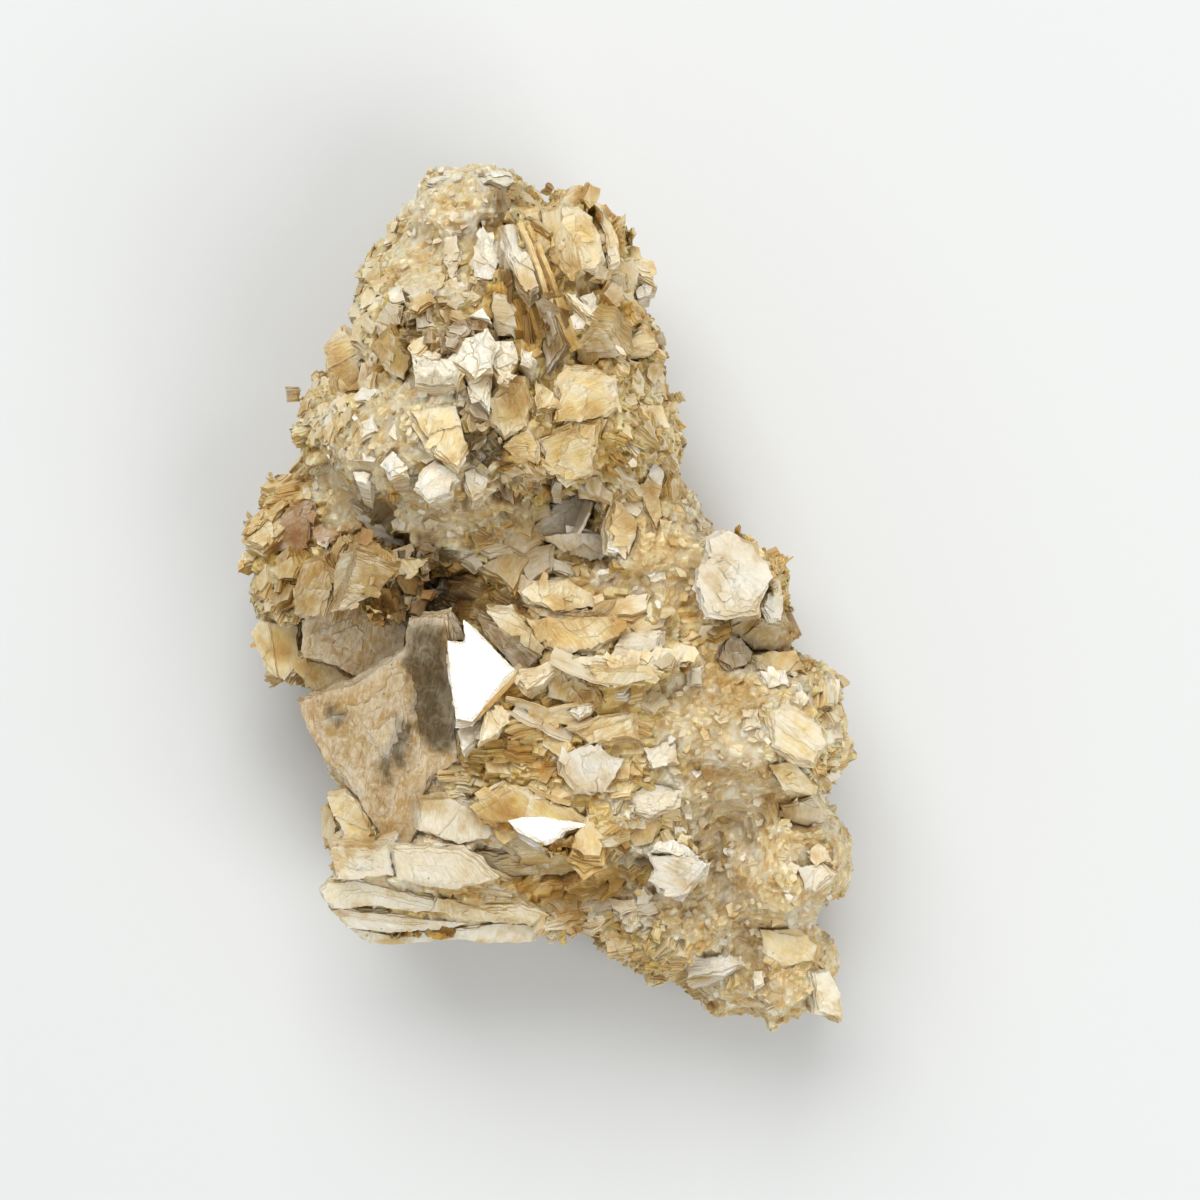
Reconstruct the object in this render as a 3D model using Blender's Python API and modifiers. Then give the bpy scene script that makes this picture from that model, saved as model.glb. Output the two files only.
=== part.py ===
"""A hand-sized cluster of golden muscovite mica, lying on its broken back.

The cluster grew as one mass, so it is one solid: rounded crystalline lumps, a crust of small
mica books over them, the largest books standing out, and the hollows between, fused into one
skin and then roughened. Lengths below are in millimetres and angles in degrees. +X is across
the cluster, +Y along it towards the crown, +Z out of its display face. The origin is at the
middle of its box, on the plane that it broke along and rests on.
"""

import math
import random

import bmesh
import bpy
from mathutils import Matrix, Vector

MM = 0.001

# Driving dimensions of the finished cluster.
ACROSS = 95.5
ALONG = 136.0
THICK = 60.0

# How far below the break the mass went on before it broke off.
BROKEN_OFF = 7.0

# The crust of small books: how many, their size, how far each stands out of its lump, and how
# far below the radii in LUMPS a lump stops to make room for it.
CRUST_SEED = 5
CRUST_BOOKS = 520
CRUST_LENGTH = (7.0, 15.0)
CRUST_WIDTH = (5.0, 9.0)
CRUST_THICKNESS = (1.8, 4.0)
CRUST_STANDS_OUT = (0.5, 4.0)
CRUST_DEPTH = 1.4
CRUST_UPRIGHT = 0.75

# How the mass is fused and roughened.
LUMP_SUBDIVISIONS = 4
FUSE_VOXEL = 1.1
GRAIN_SIZE = 6.0
GRAIN_DEPTH = 1.6
GRAIN_MIDDLE = 0.4
TRIANGLES_KEPT = 9000

# name, centre (x, y, z), radii (x, y, z), turn about Z
LUMPS = (
    ("heart", (3, -17, 20), (34, 32, 26), 0),
    ("crown_tip", (-12.5, 56, 20), (13.5, 12.5, 21), 10),
    ("crown_left", (-20, 45, 20), (12, 11.5, 22), 0),
    ("crown_right", (1.5, 49, 21), (12, 13, 25), 0),
    ("crown", (-9, 36.5, 25), (23.5, 18, 31.5), 0),
    ("crown_shoulder", (4.5, 37, 24), (13.5, 13, 26), -15),
    ("brow", (-14, 23.5, 27), (23.5, 15, 31), 0),
    ("brow_right", (6.5, 24, 24), (13.5, 17, 28), 12),
    ("nape", (-29, 24, 20), (11.5, 14, 21), 18),
    ("ear", (-33, 13, 17), (13, 11, 17), 20),
    ("left_shoulder", (-32.5, 1, 18), (16, 13, 20), 0),
    ("left_nodule", (-33.5, -8, 17), (13, 10, 15), -15),
    ("left_flank", (-21, -22, 17), (16, 18, 22), 12),
    ("neck", (-11, 9, 17), (20, 12.5, 23), 0),
    ("foot_left", (-14, -40.5, 16), (21, 13.5, 22), 0),
    ("waist", (12.5, 7.5, 21), (13.5, 13, 25), 0),
    ("right_shoulder", (25, -1, 21), (12.5, 12.5, 21), 25),
    ("right_lobe", (28.5, -21, 20), (17.5, 17, 25), 0),
    ("right_low", (33, -41, 17), (14.5, 14, 21), 0),
    ("toe", (34.5, -57, 13), (11, 11.5, 17), 15),
    ("toe_left", (16, -49.5, 16), (14.5, 11.5, 20), -25),
    ("toe_inner", (27.5, -57, 12), (12, 10.5, 15), -10),
)

# name, centre, (length, width, thickness), heading of the length, c axis
BOOKS = (
    ("wedge_book", (-24, 3, 40), (18, 14, 7), 235, (0.45, 0.35, 0.85)),
    ("wedge_book_left", (-33, 2, 36), (14, 12, 6), 250, (-0.5, 0.5, 0.8)),
    ("left_blade", (-40, 10, 26), (17, 12, 2.6), 200, (0.25, 0.85, 0.45)),
    ("left_blade_low", (-41, 5, 24), (16, 12, 2.6), 215, (0.3, 0.85, 0.4)),
    ("great_sheet", (-25, -19, 33), (36, 20, 5), 255, (-0.55, -0.05, 0.83)),
    ("mirror_book", (-10, -11, 41), (20, 13, 5), 285, (0.1, 0.33, 0.94)),
    ("brow_sheet", (-13, 35, 55), (18, 12, 5), 200, (0.0, 0.35, 0.94)),
    ("shingle_high", (6, 33, 49), (17, 12, 4), 265, (0.15, -0.1, 0.98)),
    ("shingle_low", (3, 23, 49), (18, 14, 4), 255, (0.1, -0.15, 0.98)),
    ("crown_book", (3, 54, 43), (16, 12, 6), 280, (0.15, 0.2, 0.97)),
    ("crown_blade", (-3, 48, 47), (24, 9, 2.4), 290, (0.9, 0.3, 0.3)),
    ("pearl_sheet", (27, 4, 39), (16, 14, 3), 300, (0.35, 0.25, 0.9)),
    ("sheaf_right", (8, -10, 45), (30, 12, 4), 5, (0.0, 0.75, 0.65)),
    ("bowl_book", (0, -34, 42), (24, 12, 4), 350, (0.1, 0.55, 0.83)),
    ("foot_plate_1", (-20, -33, 33), (32, 20, 3.4), 0, (-0.1, 0.8, 0.6)),
    ("foot_plate_2", (-20, -37, 31), (31, 20, 3.4), 0, (-0.1, 0.85, 0.5)),
    ("foot_plate_3", (-18, -42, 28), (33, 20, 3.4), -6, (-0.12, 0.9, 0.42)),
    ("foot_plate_4", (-16, -48.5, 25), (31, 18, 3.6), -5, (-0.1, 0.93, 0.35)),
    ("foot_tail", (0, -46.5, 28), (26, 14, 6), -8, (0.0, 0.75, 0.65)),
    ("right_plate", (35, -23, 41), (14, 12, 4), 250, (0.3, 0.1, 0.95)),
    ("clear_plate", (18, -40, 38), (12, 11, 2.4), 255, (-0.15, 0.2, 0.97)),
)

# name, centre, radii: what is left open between the books
HOLLOWS = (
    ("socket", (-17, 40, 60), (4.5, 3.5, 7)),
    ("cleft_crown", (-4, 43, 56), (3, 9, 9)),
    ("cleft_brow", (-6, 21, 60), (2.5, 7, 8)),
    ("under_brow", (-21, 1, 50), (6.5, 3.6, 13)),
    ("under_brow_right", (-2, 8, 52), (14, 3.2, 9)),
    ("gold_pocket", (3, -1, 50), (7, 2.6, 7)),
    ("right_notch", (34, -6, 44), (7, 3.6, 9)),
    ("bowl", (-1, -35, 50), (9, 3, 9)),
    ("foot_cleft", (2, -42, 44), (9, 2.4, 6)),
    ("toe_notch", (44, -50, 22), (4.5, 3, 24)),
    ("side_notch", (30, -31, 52), (12, 3, 11)),
)


def clear_scene():
    for item in list(bpy.data.objects):
        bpy.data.objects.remove(item)


def new_collection(name, shown):
    made = bpy.data.collections.new(name)
    made.hide_render = not shown
    bpy.context.scene.collection.children.link(made)
    return made


def turned(axis_z, heading):
    """The turn that puts Z on axis_z and X as near as it can to this heading in the XY plane."""
    z = Vector(axis_z).normalized()
    wanted = Vector((math.cos(math.radians(heading)), math.sin(math.radians(heading)), 0))
    x = (wanted - wanted.dot(z) * z).normalized()
    return Matrix((x, z.cross(x), z)).transposed().to_4x4()


def placed(centre, turn, sizes):
    """A unit shape's place: first its sizes, then its turn, then its centre."""
    return Matrix.Translation(Vector(centre) * MM) @ turn @ Matrix.Diagonal((*(Vector(sizes) * MM), 1))


def add_lump(mesh, centre, radii, turn_deg=0):
    turn = Matrix.Rotation(math.radians(turn_deg), 4, "Z")
    bmesh.ops.create_icosphere(
        mesh, subdivisions=LUMP_SUBDIVISIONS, radius=1, matrix=placed(centre, turn, radii)
    )


def add_book(mesh, centre, size, heading, c_axis):
    """A six-sided mica book: a prism on its c axis, as long and wide as its size says."""
    length, width, thickness = size
    bmesh.ops.create_cone(
        mesh,
        cap_ends=True,
        segments=6,
        radius1=0.5,
        radius2=0.5,
        depth=1,
        matrix=placed(centre, turned(c_axis, heading), (length, width, thickness)),
    )


def in_other_lump(point, own_name):
    """Whether this point lies inside any lump but its own."""
    for name, centre, radii, turn_deg in LUMPS:
        away = Matrix.Rotation(math.radians(-turn_deg), 3, "Z") @ (point - Vector(centre))
        inside = sum((away[k] / radii[k]) ** 2 for k in range(3)) < 1
        if inside and name != own_name:
            return True
    return False


def random_direction(rng):
    return Vector([rng.gauss(0, 1) for _ in range(3)]).normalized()


def add_crust(mesh):
    """Small books all over the outside of the lumps, most of them standing on edge."""
    rng = random.Random(CRUST_SEED)
    areas = [radii[0] * radii[1] + radii[1] * radii[2] + radii[0] * radii[2] for _, _, radii, _ in LUMPS]
    made = 0
    while made < CRUST_BOOKS:
        name, centre, radii, turn_deg = rng.choices(LUMPS, areas)[0]
        way = random_direction(rng)
        turn = Matrix.Rotation(math.radians(turn_deg), 3, "Z")
        point = Vector(centre) + turn @ Vector([way[k] * radii[k] for k in range(3)])
        if in_other_lump(point, name):
            continue
        normal = (turn @ Vector([way[k] / radii[k] for k in range(3)])).normalized()
        spin = random_direction(rng)
        c_axis = (spin - CRUST_UPRIGHT * spin.dot(normal) * normal).normalized()
        size = [rng.uniform(*span) for span in (CRUST_LENGTH, CRUST_WIDTH, CRUST_THICKNESS)]
        heading = rng.uniform(0, 360)
        sides = turned(c_axis, heading).to_3x3().transposed() @ normal
        reach = sum(abs(sides[k]) * size[k] / 2 for k in range(3))
        centre = point + (rng.uniform(*CRUST_STANDS_OUT) - CRUST_DEPTH - reach) * normal
        add_book(mesh, centre, size, heading, c_axis)
        made += 1


def object_from(mesh, name, collection):
    data = bpy.data.meshes.new(name)
    mesh.to_mesh(data)
    mesh.free()
    made = bpy.data.objects.new(name, data)
    collection.objects.link(made)
    return made


def make_helper(item):
    item.hide_render = True
    item.display_type = "WIRE"


def loose_shapes(collection):
    """Every lump and book, overlapping and not yet joined."""
    mesh = bmesh.new()
    for _, centre, radii, turn_deg in LUMPS:
        add_lump(mesh, centre, [radius - CRUST_DEPTH for radius in radii], turn_deg)
    for _, centre, size, heading, c_axis in BOOKS:
        add_book(mesh, centre, size, heading, c_axis)
    add_crust(mesh)
    return object_from(mesh, "mica_cluster", collection)


def hollow_cutter(collection):
    mesh = bmesh.new()
    for _, centre, radii in HOLLOWS:
        add_lump(mesh, centre, radii)
    cutter = object_from(mesh, "hollows", collection)
    add_fuse(cutter, "fuse")
    make_helper(cutter)
    return cutter


def break_cutter(collection):
    """A block whose top is the plane that the cluster broke along."""
    side = 3 * ALONG
    mesh = bmesh.new()
    bmesh.ops.create_cube(mesh, size=1, matrix=placed((0, 0, -side / 2), Matrix(), (side, side, side)))
    cutter = object_from(mesh, "break_plane", collection)
    make_helper(cutter)
    return cutter


def add_fuse(item, name):
    """Joins what overlaps into one closed skin."""
    fuse = item.modifiers.new(name, "REMESH")
    fuse.mode = "VOXEL"
    fuse.voxel_size = FUSE_VOXEL * MM


def add_cut(item, name, cutter):
    cut = item.modifiers.new(name, "BOOLEAN")
    cut.operation = "DIFFERENCE"
    cut.solver = "EXACT"
    cut.object = cutter


def add_grain(item):
    """The blocky, crystalline roughness of the whole skin."""
    texture = bpy.data.textures.new("grain", "VORONOI")
    texture.noise_scale = GRAIN_SIZE * MM
    grain = item.modifiers.new("grain", "DISPLACE")
    grain.texture = texture
    grain.texture_coords = "LOCAL"
    grain.mid_level = GRAIN_MIDDLE
    grain.strength = -GRAIN_DEPTH * MM


def apply_modifiers(item):
    """Puts what the modifiers make into the object's own mesh."""
    graph = bpy.context.evaluated_depsgraph_get()
    made = bpy.data.meshes.new_from_object(item.evaluated_get(graph))
    item.modifiers.clear()
    item.data = made


def thin_out(item, triangles):
    item.data.calc_loop_triangles()
    fewer = item.modifiers.new("fewer", "DECIMATE")
    fewer.ratio = triangles / len(item.data.loop_triangles)


def fit_to_size(item):
    """Gives the mass its driving dimensions, with its middle over the origin and its break at Z 0."""
    corners = [vertex.co for vertex in item.data.vertices]
    low = Vector([min(corner[k] for corner in corners) for k in range(3)])
    high = Vector([max(corner[k] for corner in corners) for k in range(3)])
    wanted = Vector((ACROSS, ALONG, THICK + BROKEN_OFF)) * MM
    scale = Vector([wanted[k] / (high[k] - low[k]) for k in range(3)])
    middle = (low + high) / 2
    shift = (-middle.x * scale.x, -middle.y * scale.y, -low.z * scale.z - BROKEN_OFF * MM)
    item.data.transform(Matrix.Translation(shift) @ Matrix.Diagonal((*scale, 1)))


def mica_material():
    material = bpy.data.materials.new("golden_mica")
    material.use_nodes = True
    shader = material.node_tree.nodes["Principled BSDF"]
    shader.inputs["Base Color"].default_value = (0.60, 0.46, 0.25, 1)
    shader.inputs["Roughness"].default_value = 0.4
    shader.inputs["Metallic"].default_value = 0.0
    return material


def main():
    clear_scene()
    shown = new_collection("mica_crystal", True)
    helpers = new_collection("cutters", False)
    cluster = loose_shapes(shown)
    add_fuse(cluster, "fuse")
    add_cut(cluster, "open_hollows", hollow_cutter(helpers))
    add_grain(cluster)
    add_fuse(cluster, "fuse_again")
    apply_modifiers(cluster)
    fit_to_size(cluster)
    thin_out(cluster, TRIANGLES_KEPT)
    add_cut(cluster, "break_flat", break_cutter(helpers))
    cluster.data.materials.clear()
    cluster.data.materials.append(mica_material())


main()
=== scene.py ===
"""The looks of the golden mica cluster: its sugary groundmass, the books and sheets that show in
the photograph, and the crust of small flakes all round.

Lengths are in millimetres until a point is handed to Blender. Pixels are those of the
1200 x 1200 photograph. A lean is how far a sheet's face tips from facing up, and its azimuth is
the way it tips: 0 is the photograph's right, 90 its top.
"""

import math
import random

import bmesh
import bpy
import numpy as np
import mathutils.noise
from mathutils import Matrix, Vector
from mathutils.bvhtree import BVHTree
from mathutils.geometry import delaunay_2d_cdt
from mathutils.kdtree import KDTree


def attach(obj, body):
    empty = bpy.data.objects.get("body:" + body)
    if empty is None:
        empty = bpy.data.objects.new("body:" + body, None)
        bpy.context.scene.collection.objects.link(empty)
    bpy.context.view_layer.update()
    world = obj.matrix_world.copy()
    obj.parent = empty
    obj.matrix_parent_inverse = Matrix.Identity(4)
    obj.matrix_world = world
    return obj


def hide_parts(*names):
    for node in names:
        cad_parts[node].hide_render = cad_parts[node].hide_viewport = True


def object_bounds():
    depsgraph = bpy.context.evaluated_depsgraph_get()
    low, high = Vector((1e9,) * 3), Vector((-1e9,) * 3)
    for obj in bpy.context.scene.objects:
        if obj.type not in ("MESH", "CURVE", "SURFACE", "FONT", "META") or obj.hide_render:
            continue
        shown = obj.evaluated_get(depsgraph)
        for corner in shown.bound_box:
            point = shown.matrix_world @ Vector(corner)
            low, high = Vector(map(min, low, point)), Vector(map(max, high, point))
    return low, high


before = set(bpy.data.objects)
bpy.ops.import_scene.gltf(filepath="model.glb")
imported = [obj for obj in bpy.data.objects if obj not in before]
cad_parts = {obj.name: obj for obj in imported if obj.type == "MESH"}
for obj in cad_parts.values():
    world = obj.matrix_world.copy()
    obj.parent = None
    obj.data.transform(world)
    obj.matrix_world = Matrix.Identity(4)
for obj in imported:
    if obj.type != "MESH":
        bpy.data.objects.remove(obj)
CAD_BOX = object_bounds()
NODE = "mica_cluster"

# ---------------------------------------------------------------- the photograph's view
MM = 0.001
FRAME_PIXELS = 1200
MM_PER_PIXEL = 0.1535
OUTLINE_HEIGHT = 25.0
CAMERA_DISTANCE = 480.0
CAMERA_X = 7.5
SENSOR = 36.0
EYE = Vector((CAMERA_X, 0.0, OUTLINE_HEIGHT + CAMERA_DISTANCE))
RAY_SLOPE = MM_PER_PIXEL / CAMERA_DISTANCE

# ---------------------------------------------------------------- colours of the mica
# kind: colour (linear), silver, frost
KINDS = {
    "cream": ((0.87, 0.67, 0.30), 0.07, 0.5),
    "straw": ((0.81, 0.57, 0.17), 0.07, 0.4),
    "gold": ((0.66, 0.43, 0.08), 0.06, 0.3),
    "honey": ((0.46, 0.28, 0.045), 0.05, 0.2),
    "brown": ((0.25, 0.14, 0.03), 0.04, 0.3),
    # olive is the dark colour of the recesses: painted shade.
    "olive": ((0.12, 0.075, 0.018), 0.03, 0.5),
    "grey": ((0.82, 0.71, 0.48), 0.12, 0.8),
    "frost": ((0.46, 0.29, 0.09), 0.04, 1.0),
    "milk": ((0.82, 0.75, 0.60), 0.12, 0.7),
    "pearl": ((0.92, 0.81, 0.58), 0.14, 0.5),
    "chalk": ((0.95, 0.86, 0.64), 0.06, 0.5),
    "white": ((0.96, 0.90, 0.76), 0.26, 0.5),
    "silver": ((0.97, 0.92, 0.80), 0.42, 0.5),
    "foil": ((0.95, 0.87, 0.68), 0.50, 0.3),
    "mirror": ((0.98, 0.96, 0.92), 1.00, 0.2),
    "pink": ((0.50, 0.27, 0.11), 0.03, 0.3),
}

# ---------------------------------------------------------------- the sheets that show
# name, kind, corners in pixels, (lean, azimuth), lift above the groundmass, thickness
SHEETS = (
    # the crown
    ("crown_tooth_1", "white", ((444, 238), (457, 236), (460, 261), (453, 281), (445, 263)), (25, 110), 1.2, 2.0),
    ("crown_tooth_2", "silver", ((472, 262), (483, 227), (492, 240), (499, 262), (492, 279), (474, 276)), (22, 95), 1.4, 2.0),
    ("crown_tooth_3", "silver", ((492, 242), (506, 243), (503, 260), (495, 256)), (24, 100), 1.8, 1.5),
    ("crown_cap", "white", ((481, 170), (509, 171), (514, 181), (505, 187), (488, 181)), (20, 95), 0.8, 1.5),
    ("crown_glint", "white", ((385, 224), (393, 217), (398, 235), (383, 246)), (30, 150), 1.0, 1.2),
    ("crown_pane_left", "gold", ((542, 214), (558, 209), (561, 222), (572, 244), (579, 270), (574, 281),
                                  (561, 270), (548, 257), (540, 235)), (12, 200), 1.0, 2.0),
    ("crown_pane_right", "straw", ((561, 207), (579, 207), (592, 220), (600, 235), (604, 255), (596, 268),
                                  (579, 270), (572, 244), (560, 222)), (14, 350), 0.8, 2.0),
    ("crown_slab", "cream", ((587, 201), (600, 207), (616, 238), (620, 261), (609, 266), (605, 244),
                             (600, 227)), (20, 60), 2.0, 3.0),
    ("crown_cheek", "gold", ((620, 261), (633, 261), (639, 274), (633, 296), (618, 290), (607, 279)), (25, 330), 0.8, 2.0),
    ("crown_edge", "cream", ((628, 236), (640, 260), (651, 268), (654, 282), (641, 275)), (25, 60), 1.0, 2.0),
    ("crown_edge_glint", "silver", ((637, 292), (645, 286), (655, 285), (650, 295), (638, 299)), (24, 92), 1.0, 1.2),
    ("nose_ridge", "white", ((581, 297), (592, 292), (600, 313), (607, 328), (600, 330), (590, 313)), (20, 120), 2.2, 2.5),
    ("nose_ball", "pearl", ((570, 316), (580, 309), (590, 316), (586, 330), (574, 330)), (15, 100), 1.6, 2.0),
    ("wedge_dark", "honey", ((574, 346), (590, 326), (609, 331), (626, 355), (600, 357), (579, 359)), (38, 250), 0.4, 2.0),
    ("wedge_ridge", "cream", ((566, 294), (575, 295), (612, 328), (627, 355), (620, 353), (600, 331), (580, 313)), (24, 60), 2.4, 2.5),
    ("cheek_olive", "straw", ((626, 340), (644, 329), (654, 337), (656, 350), (648, 356), (630, 358)), (16, 300), 0.6, 2.0),
    ("centre_blade", "pearl", ((505, 225), (514, 224), (525, 240), (532, 262), (539, 286), (531, 295),
                               (520, 285), (512, 258)), (24, 60), 2.4, 3.0),
    ("grey_flake", "grey", ((492, 292), (505, 296), (514, 310), (518, 335), (498, 334), (493, 315)), (14, 270), 0.2, 1.0),
    ("dark_blade", "brown", ((540, 300), (552, 310), (562, 345), (545, 372), (541, 350), (545, 325)), (30, 200), 0.8, 2.0),
    ("left_grey", "grey", ((376, 322), (387, 305), (400, 309), (401, 324), (379, 335)), (18, 170), 1.6, 1.4),
    ("left_glint", "silver", ((389, 292), (400, 287), (404, 300), (393, 303)), (22, 95), 1.4, 1.2),
    ("tooth_glint", "white", ((469, 317), (474, 313), (482, 308), (490, 320)), (24, 95), 1.8, 1.4),
    # the crinkled silver sheet and what is round it
    ("crinkle_left", "foil", ((413, 352), (433, 355), (450, 359), (461, 372), (457, 385), (415, 383)), (22, 100), 1.0, 1.3),
    ("crinkle_mid", "foil", ((450, 357), (462, 342), (488, 329), (497, 344), (491, 368), (470, 372)), (21, 92), 1.0, 1.3),
    ("crinkle_right", "foil", ((492, 344), (512, 342), (516, 360), (509, 383), (499, 380), (494, 368)), (24, 80), 1.0, 1.3),
    ("crinkle_tooth", "foil", ((461, 370), (489, 376), (487, 407), (472, 392)), (20, 98), 1.4, 1.6),
    ("crinkle_glint", "silver", ((522, 348), (535, 359), (529, 370), (521, 363)), (22, 95), 1.6, 1.4),
    ("gold_face_1", "straw", ((326, 348), (341, 326), (361, 348), (359, 389), (341, 394), (328, 376)), (22, 150), 0.8, 2.0),
    ("gold_face_2", "gold", ((370, 348), (389, 331), (402, 348), (411, 354), (404, 379), (385, 370)), (20, 230), 0.5, 2.0),
    ("feather_sheet", "straw", ((413, 413), (437, 405), (456, 407), (467, 444), (456, 465), (437, 450)), (16, 20), 1.2, 2.4),
    # the shingles down the middle
    ("shingle_1", "gold", ((490, 398), (505, 381), (522, 383), (531, 407), (527, 426), (505, 437), (490, 424)), (12, 240), 1.4, 3.0),
    ("shingle_2", "gold", ((535, 381), (553, 394), (557, 407), (538, 411)), (20, 60), 1.6, 2.2),
    ("shingle_3", "straw", ((561, 385), (570, 372), (592, 370), (611, 381), (618, 407), (605, 415), (579, 422),
                           (555, 422)), (14, 300), 1.8, 3.0),
    ("shingle_4", "gold", ((503, 446), (514, 436), (527, 428), (535, 444), (535, 463), (516, 459)), (18, 250), 1.0, 2.4),
    ("shingle_5", "gold", ((538, 440), (570, 428), (592, 450), (590, 474), (566, 482), (548, 470)), (16, 280), 0.8, 3.0),
    ("shingle_glint", "silver", ((554, 478), (563, 474), (560, 490), (552, 488)), (22, 95), 1.6, 1.2),
    # the sugary lump on the left
    ("hex_flake", "silver", ((422, 472), (434, 463), (452, 466), (455, 480), (450, 493), (428, 500), (415, 487)), (14, 110), 1.6, 1.4),
    ("milk_flake", "milk", ((465, 472), (474, 468), (486, 480), (482, 493), (474, 502), (467, 485)), (18, 40), 1.6, 2.4),
    ("sugar_glint_1", "silver", ((383, 463), (393, 452), (404, 463), (406, 474), (391, 476)), (20, 95), 1.6, 1.6),
    ("sugar_glint_2", "silver", ((359, 422), (372, 418), (377, 431), (363, 437)), (22, 98), 1.4, 1.6),
    ("sugar_glint_3", "white", ((354, 472), (370, 474), (367, 485), (358, 482)), (24, 95), 1.4, 1.4),
    ("scallop_rim", "white", ((355, 511), (363, 517), (380, 534), (404, 539), (406, 545), (380, 542), (367, 528)), (30, 250), 1.0, 1.6),
    # the wedges under the lump
    ("wedge_left", "honey", ((296, 589), (305, 565), (322, 560), (331, 572), (331, 597), (324, 617), (307, 617),
                             (294, 612)), (20, 190), 2.0, 4.0),
    ("wedge_left_top", "gold", ((322, 562), (341, 537), (346, 543), (337, 566), (331, 574)), (26, 180), 2.4, 3.0),
    ("wedge_mid", "honey", ((341, 556), (357, 549), (354, 562), (345, 588), (335, 607), (336, 578)), (25, 200), 1.6, 3.0),
    ("wedge_top", "honey", ((365, 534), (380, 545), (400, 560), (393, 573), (359, 558), (357, 552)), (22, 30), 2.6, 4.0),
    ("wedge_face", "honey", ((357, 559), (376, 565), (395, 573), (376, 591), (350, 609), (335, 611), (347, 586)), (22, 280), 2.6, 4.0),
    ("wedge_tail", "gold", ((400, 560), (428, 560), (411, 573), (397, 575)), (24, 300), 1.0, 2.0),
    # the left edge
    ("edge_blade_1", "gold", ((242, 532), (248, 524), (285, 500), (290, 505), (259, 528), (244, 538)), (35, 120), 2.0, 2.0),
    ("edge_blade_2", "gold", ((247, 541), (281, 516), (288, 524), (263, 547)), (35, 110), 1.0, 2.0),
    ("edge_blade_3", "straw", ((237, 567), (242, 552), (263, 545), (253, 560)), (30, 120), 1.0, 1.6),
    ("stained_face", "pink", ((287, 508), (313, 504), (309, 530), (305, 552), (268, 549)), (24, 200), 0.2, 2.0),
    ("stained_nub", "pink", ((313, 528), (322, 523), (331, 535), (327, 549), (318, 545)), (16, 120), 1.0, 2.0),
    ("rim_sheet_1", "straw", ((253, 634), (261, 621), (298, 626), (302, 660), (285, 682), (268, 671)), (22, 170), 1.2, 2.0),
    ("rim_sheet_2", "gold", ((300, 660), (337, 664), (352, 677), (326, 691), (307, 686)), (26, 250), 1.6, 2.4),
    # the great frosty sheet and the mirror beside it
    ("frost_upper", "frost", ((302, 620), (345, 600), (385, 590), (409, 620), (404, 649), (362, 680), (337, 663),
                             (303, 657)), (18, 210), 0.4, 2.0),
    ("great_sheet", "frost", ((296, 700), (335, 690), (362, 680), (404, 649), (409, 619), (446, 615), (450, 640),
                             (456, 722), (458, 761), (428, 779), (419, 803), (419, 829), (411, 842), (391, 842),
                             (380, 835), (361, 800), (344, 774), (328, 761), (307, 727)), (16, 215), 1.0, 2.0),
    ("mirror_flake", "mirror", ((447, 640), (455, 641), (465, 641), (463, 619), (476, 628), (491, 645), (515, 669),
                                (500, 688), (472, 721), (456, 718), (450, 678)), (20, 96), 1.2, 1.6),
    ("mirror_wedge", "brown", ((443, 616), (452, 616), (459, 624), (465, 641), (455, 637), (446, 626)), (14, 240), 2.0, 1.4),
    ("mirror_bank", "brown", ((476, 617), (500, 628), (541, 656), (530, 668), (519, 671), (491, 643)), (26, 240), 1.0, 2.4),
    ("band_edge", "cream", ((487, 610), (510, 612), (545, 648), (541, 655), (522, 650), (502, 628)), (18, 230), 1.6, 2.4),
    # the ledge under the brow
    ("ledge_pane_1", "milk", ((533, 530), (553, 504), (579, 495), (596, 500), (590, 516), (579, 534), (548, 536)), (18, 110), 0.6, 2.0),
    ("ledge_pane_2", "milk", ((544, 536), (579, 532), (607, 534), (607, 557), (590, 562), (570, 556)), (16, 260), 0.2, 2.0),
    ("ledge_tan", "straw", ((616, 504), (635, 521), (635, 539), (626, 560), (611, 552), (609, 532)), (20, 330), 0.6, 2.4),
    ("ledge_glint_1", "silver", ((609, 541), (615, 543), (616, 551), (608, 550)), (20, 95), 1.6, 1.0),
    ("ledge_glint_2", "silver", ((598, 571), (611, 565), (614, 571), (601, 574)), (20, 95), 1.6, 1.0),
    ("side_face", "gold", ((637, 487), (648, 476), (661, 487), (663, 515), (656, 529), (645, 508)), (26, 20), 0.8, 2.4),
    ("side_glint", "white", ((655, 463), (663, 472), (659, 483), (648, 476)), (24, 80), 1.2, 1.6),
    # the golden band
    ("band_lip", "cream", ((522, 591), (535, 582), (570, 581), (609, 603), (612, 608), (579, 607), (561, 611),
                           (535, 603)), (14, 20), 1.8, 2.0),
    ("band_pocket", "honey", ((524, 604), (540, 609), (580, 611), (613, 609), (600, 617), (565, 620), (540, 617)), (20, 90), -0.6, 1.6),
    ("band_lower", "straw", ((524, 618), (545, 619), (575, 621), (612, 616), (624, 631), (592, 649), (561, 654),
                             (547, 646)), (14, 180), 1.2, 2.0),
    ("band_white", "pearl", ((622, 633), (660, 631), (657, 649), (631, 658), (611, 656)), (18, 100), 1.2, 1.8),
    ("band_stripe_1", "cream", ((557, 661), (596, 655), (657, 652), (690, 648), (692, 660), (657, 668), (600, 667)), (12, 85), 1.2, 2.0),
    ("band_stripe_2", "straw", ((590, 670), (640, 671), (657, 676), (625, 683), (600, 682)), (20, 260), 0.6, 2.0),
    # the sheaf to the right of the mirror
    ("sheaf_top", "pearl", ((521, 668), (533, 667), (545, 662), (552, 660), (556, 668), (541, 680), (526, 690), (517, 680)), (20, 110), 1.6, 1.6),
    ("sheaf_gold", "honey", ((544, 680), (561, 667), (592, 686), (603, 703), (570, 704), (548, 697)), (22, 240), -0.2, 2.0),
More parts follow.
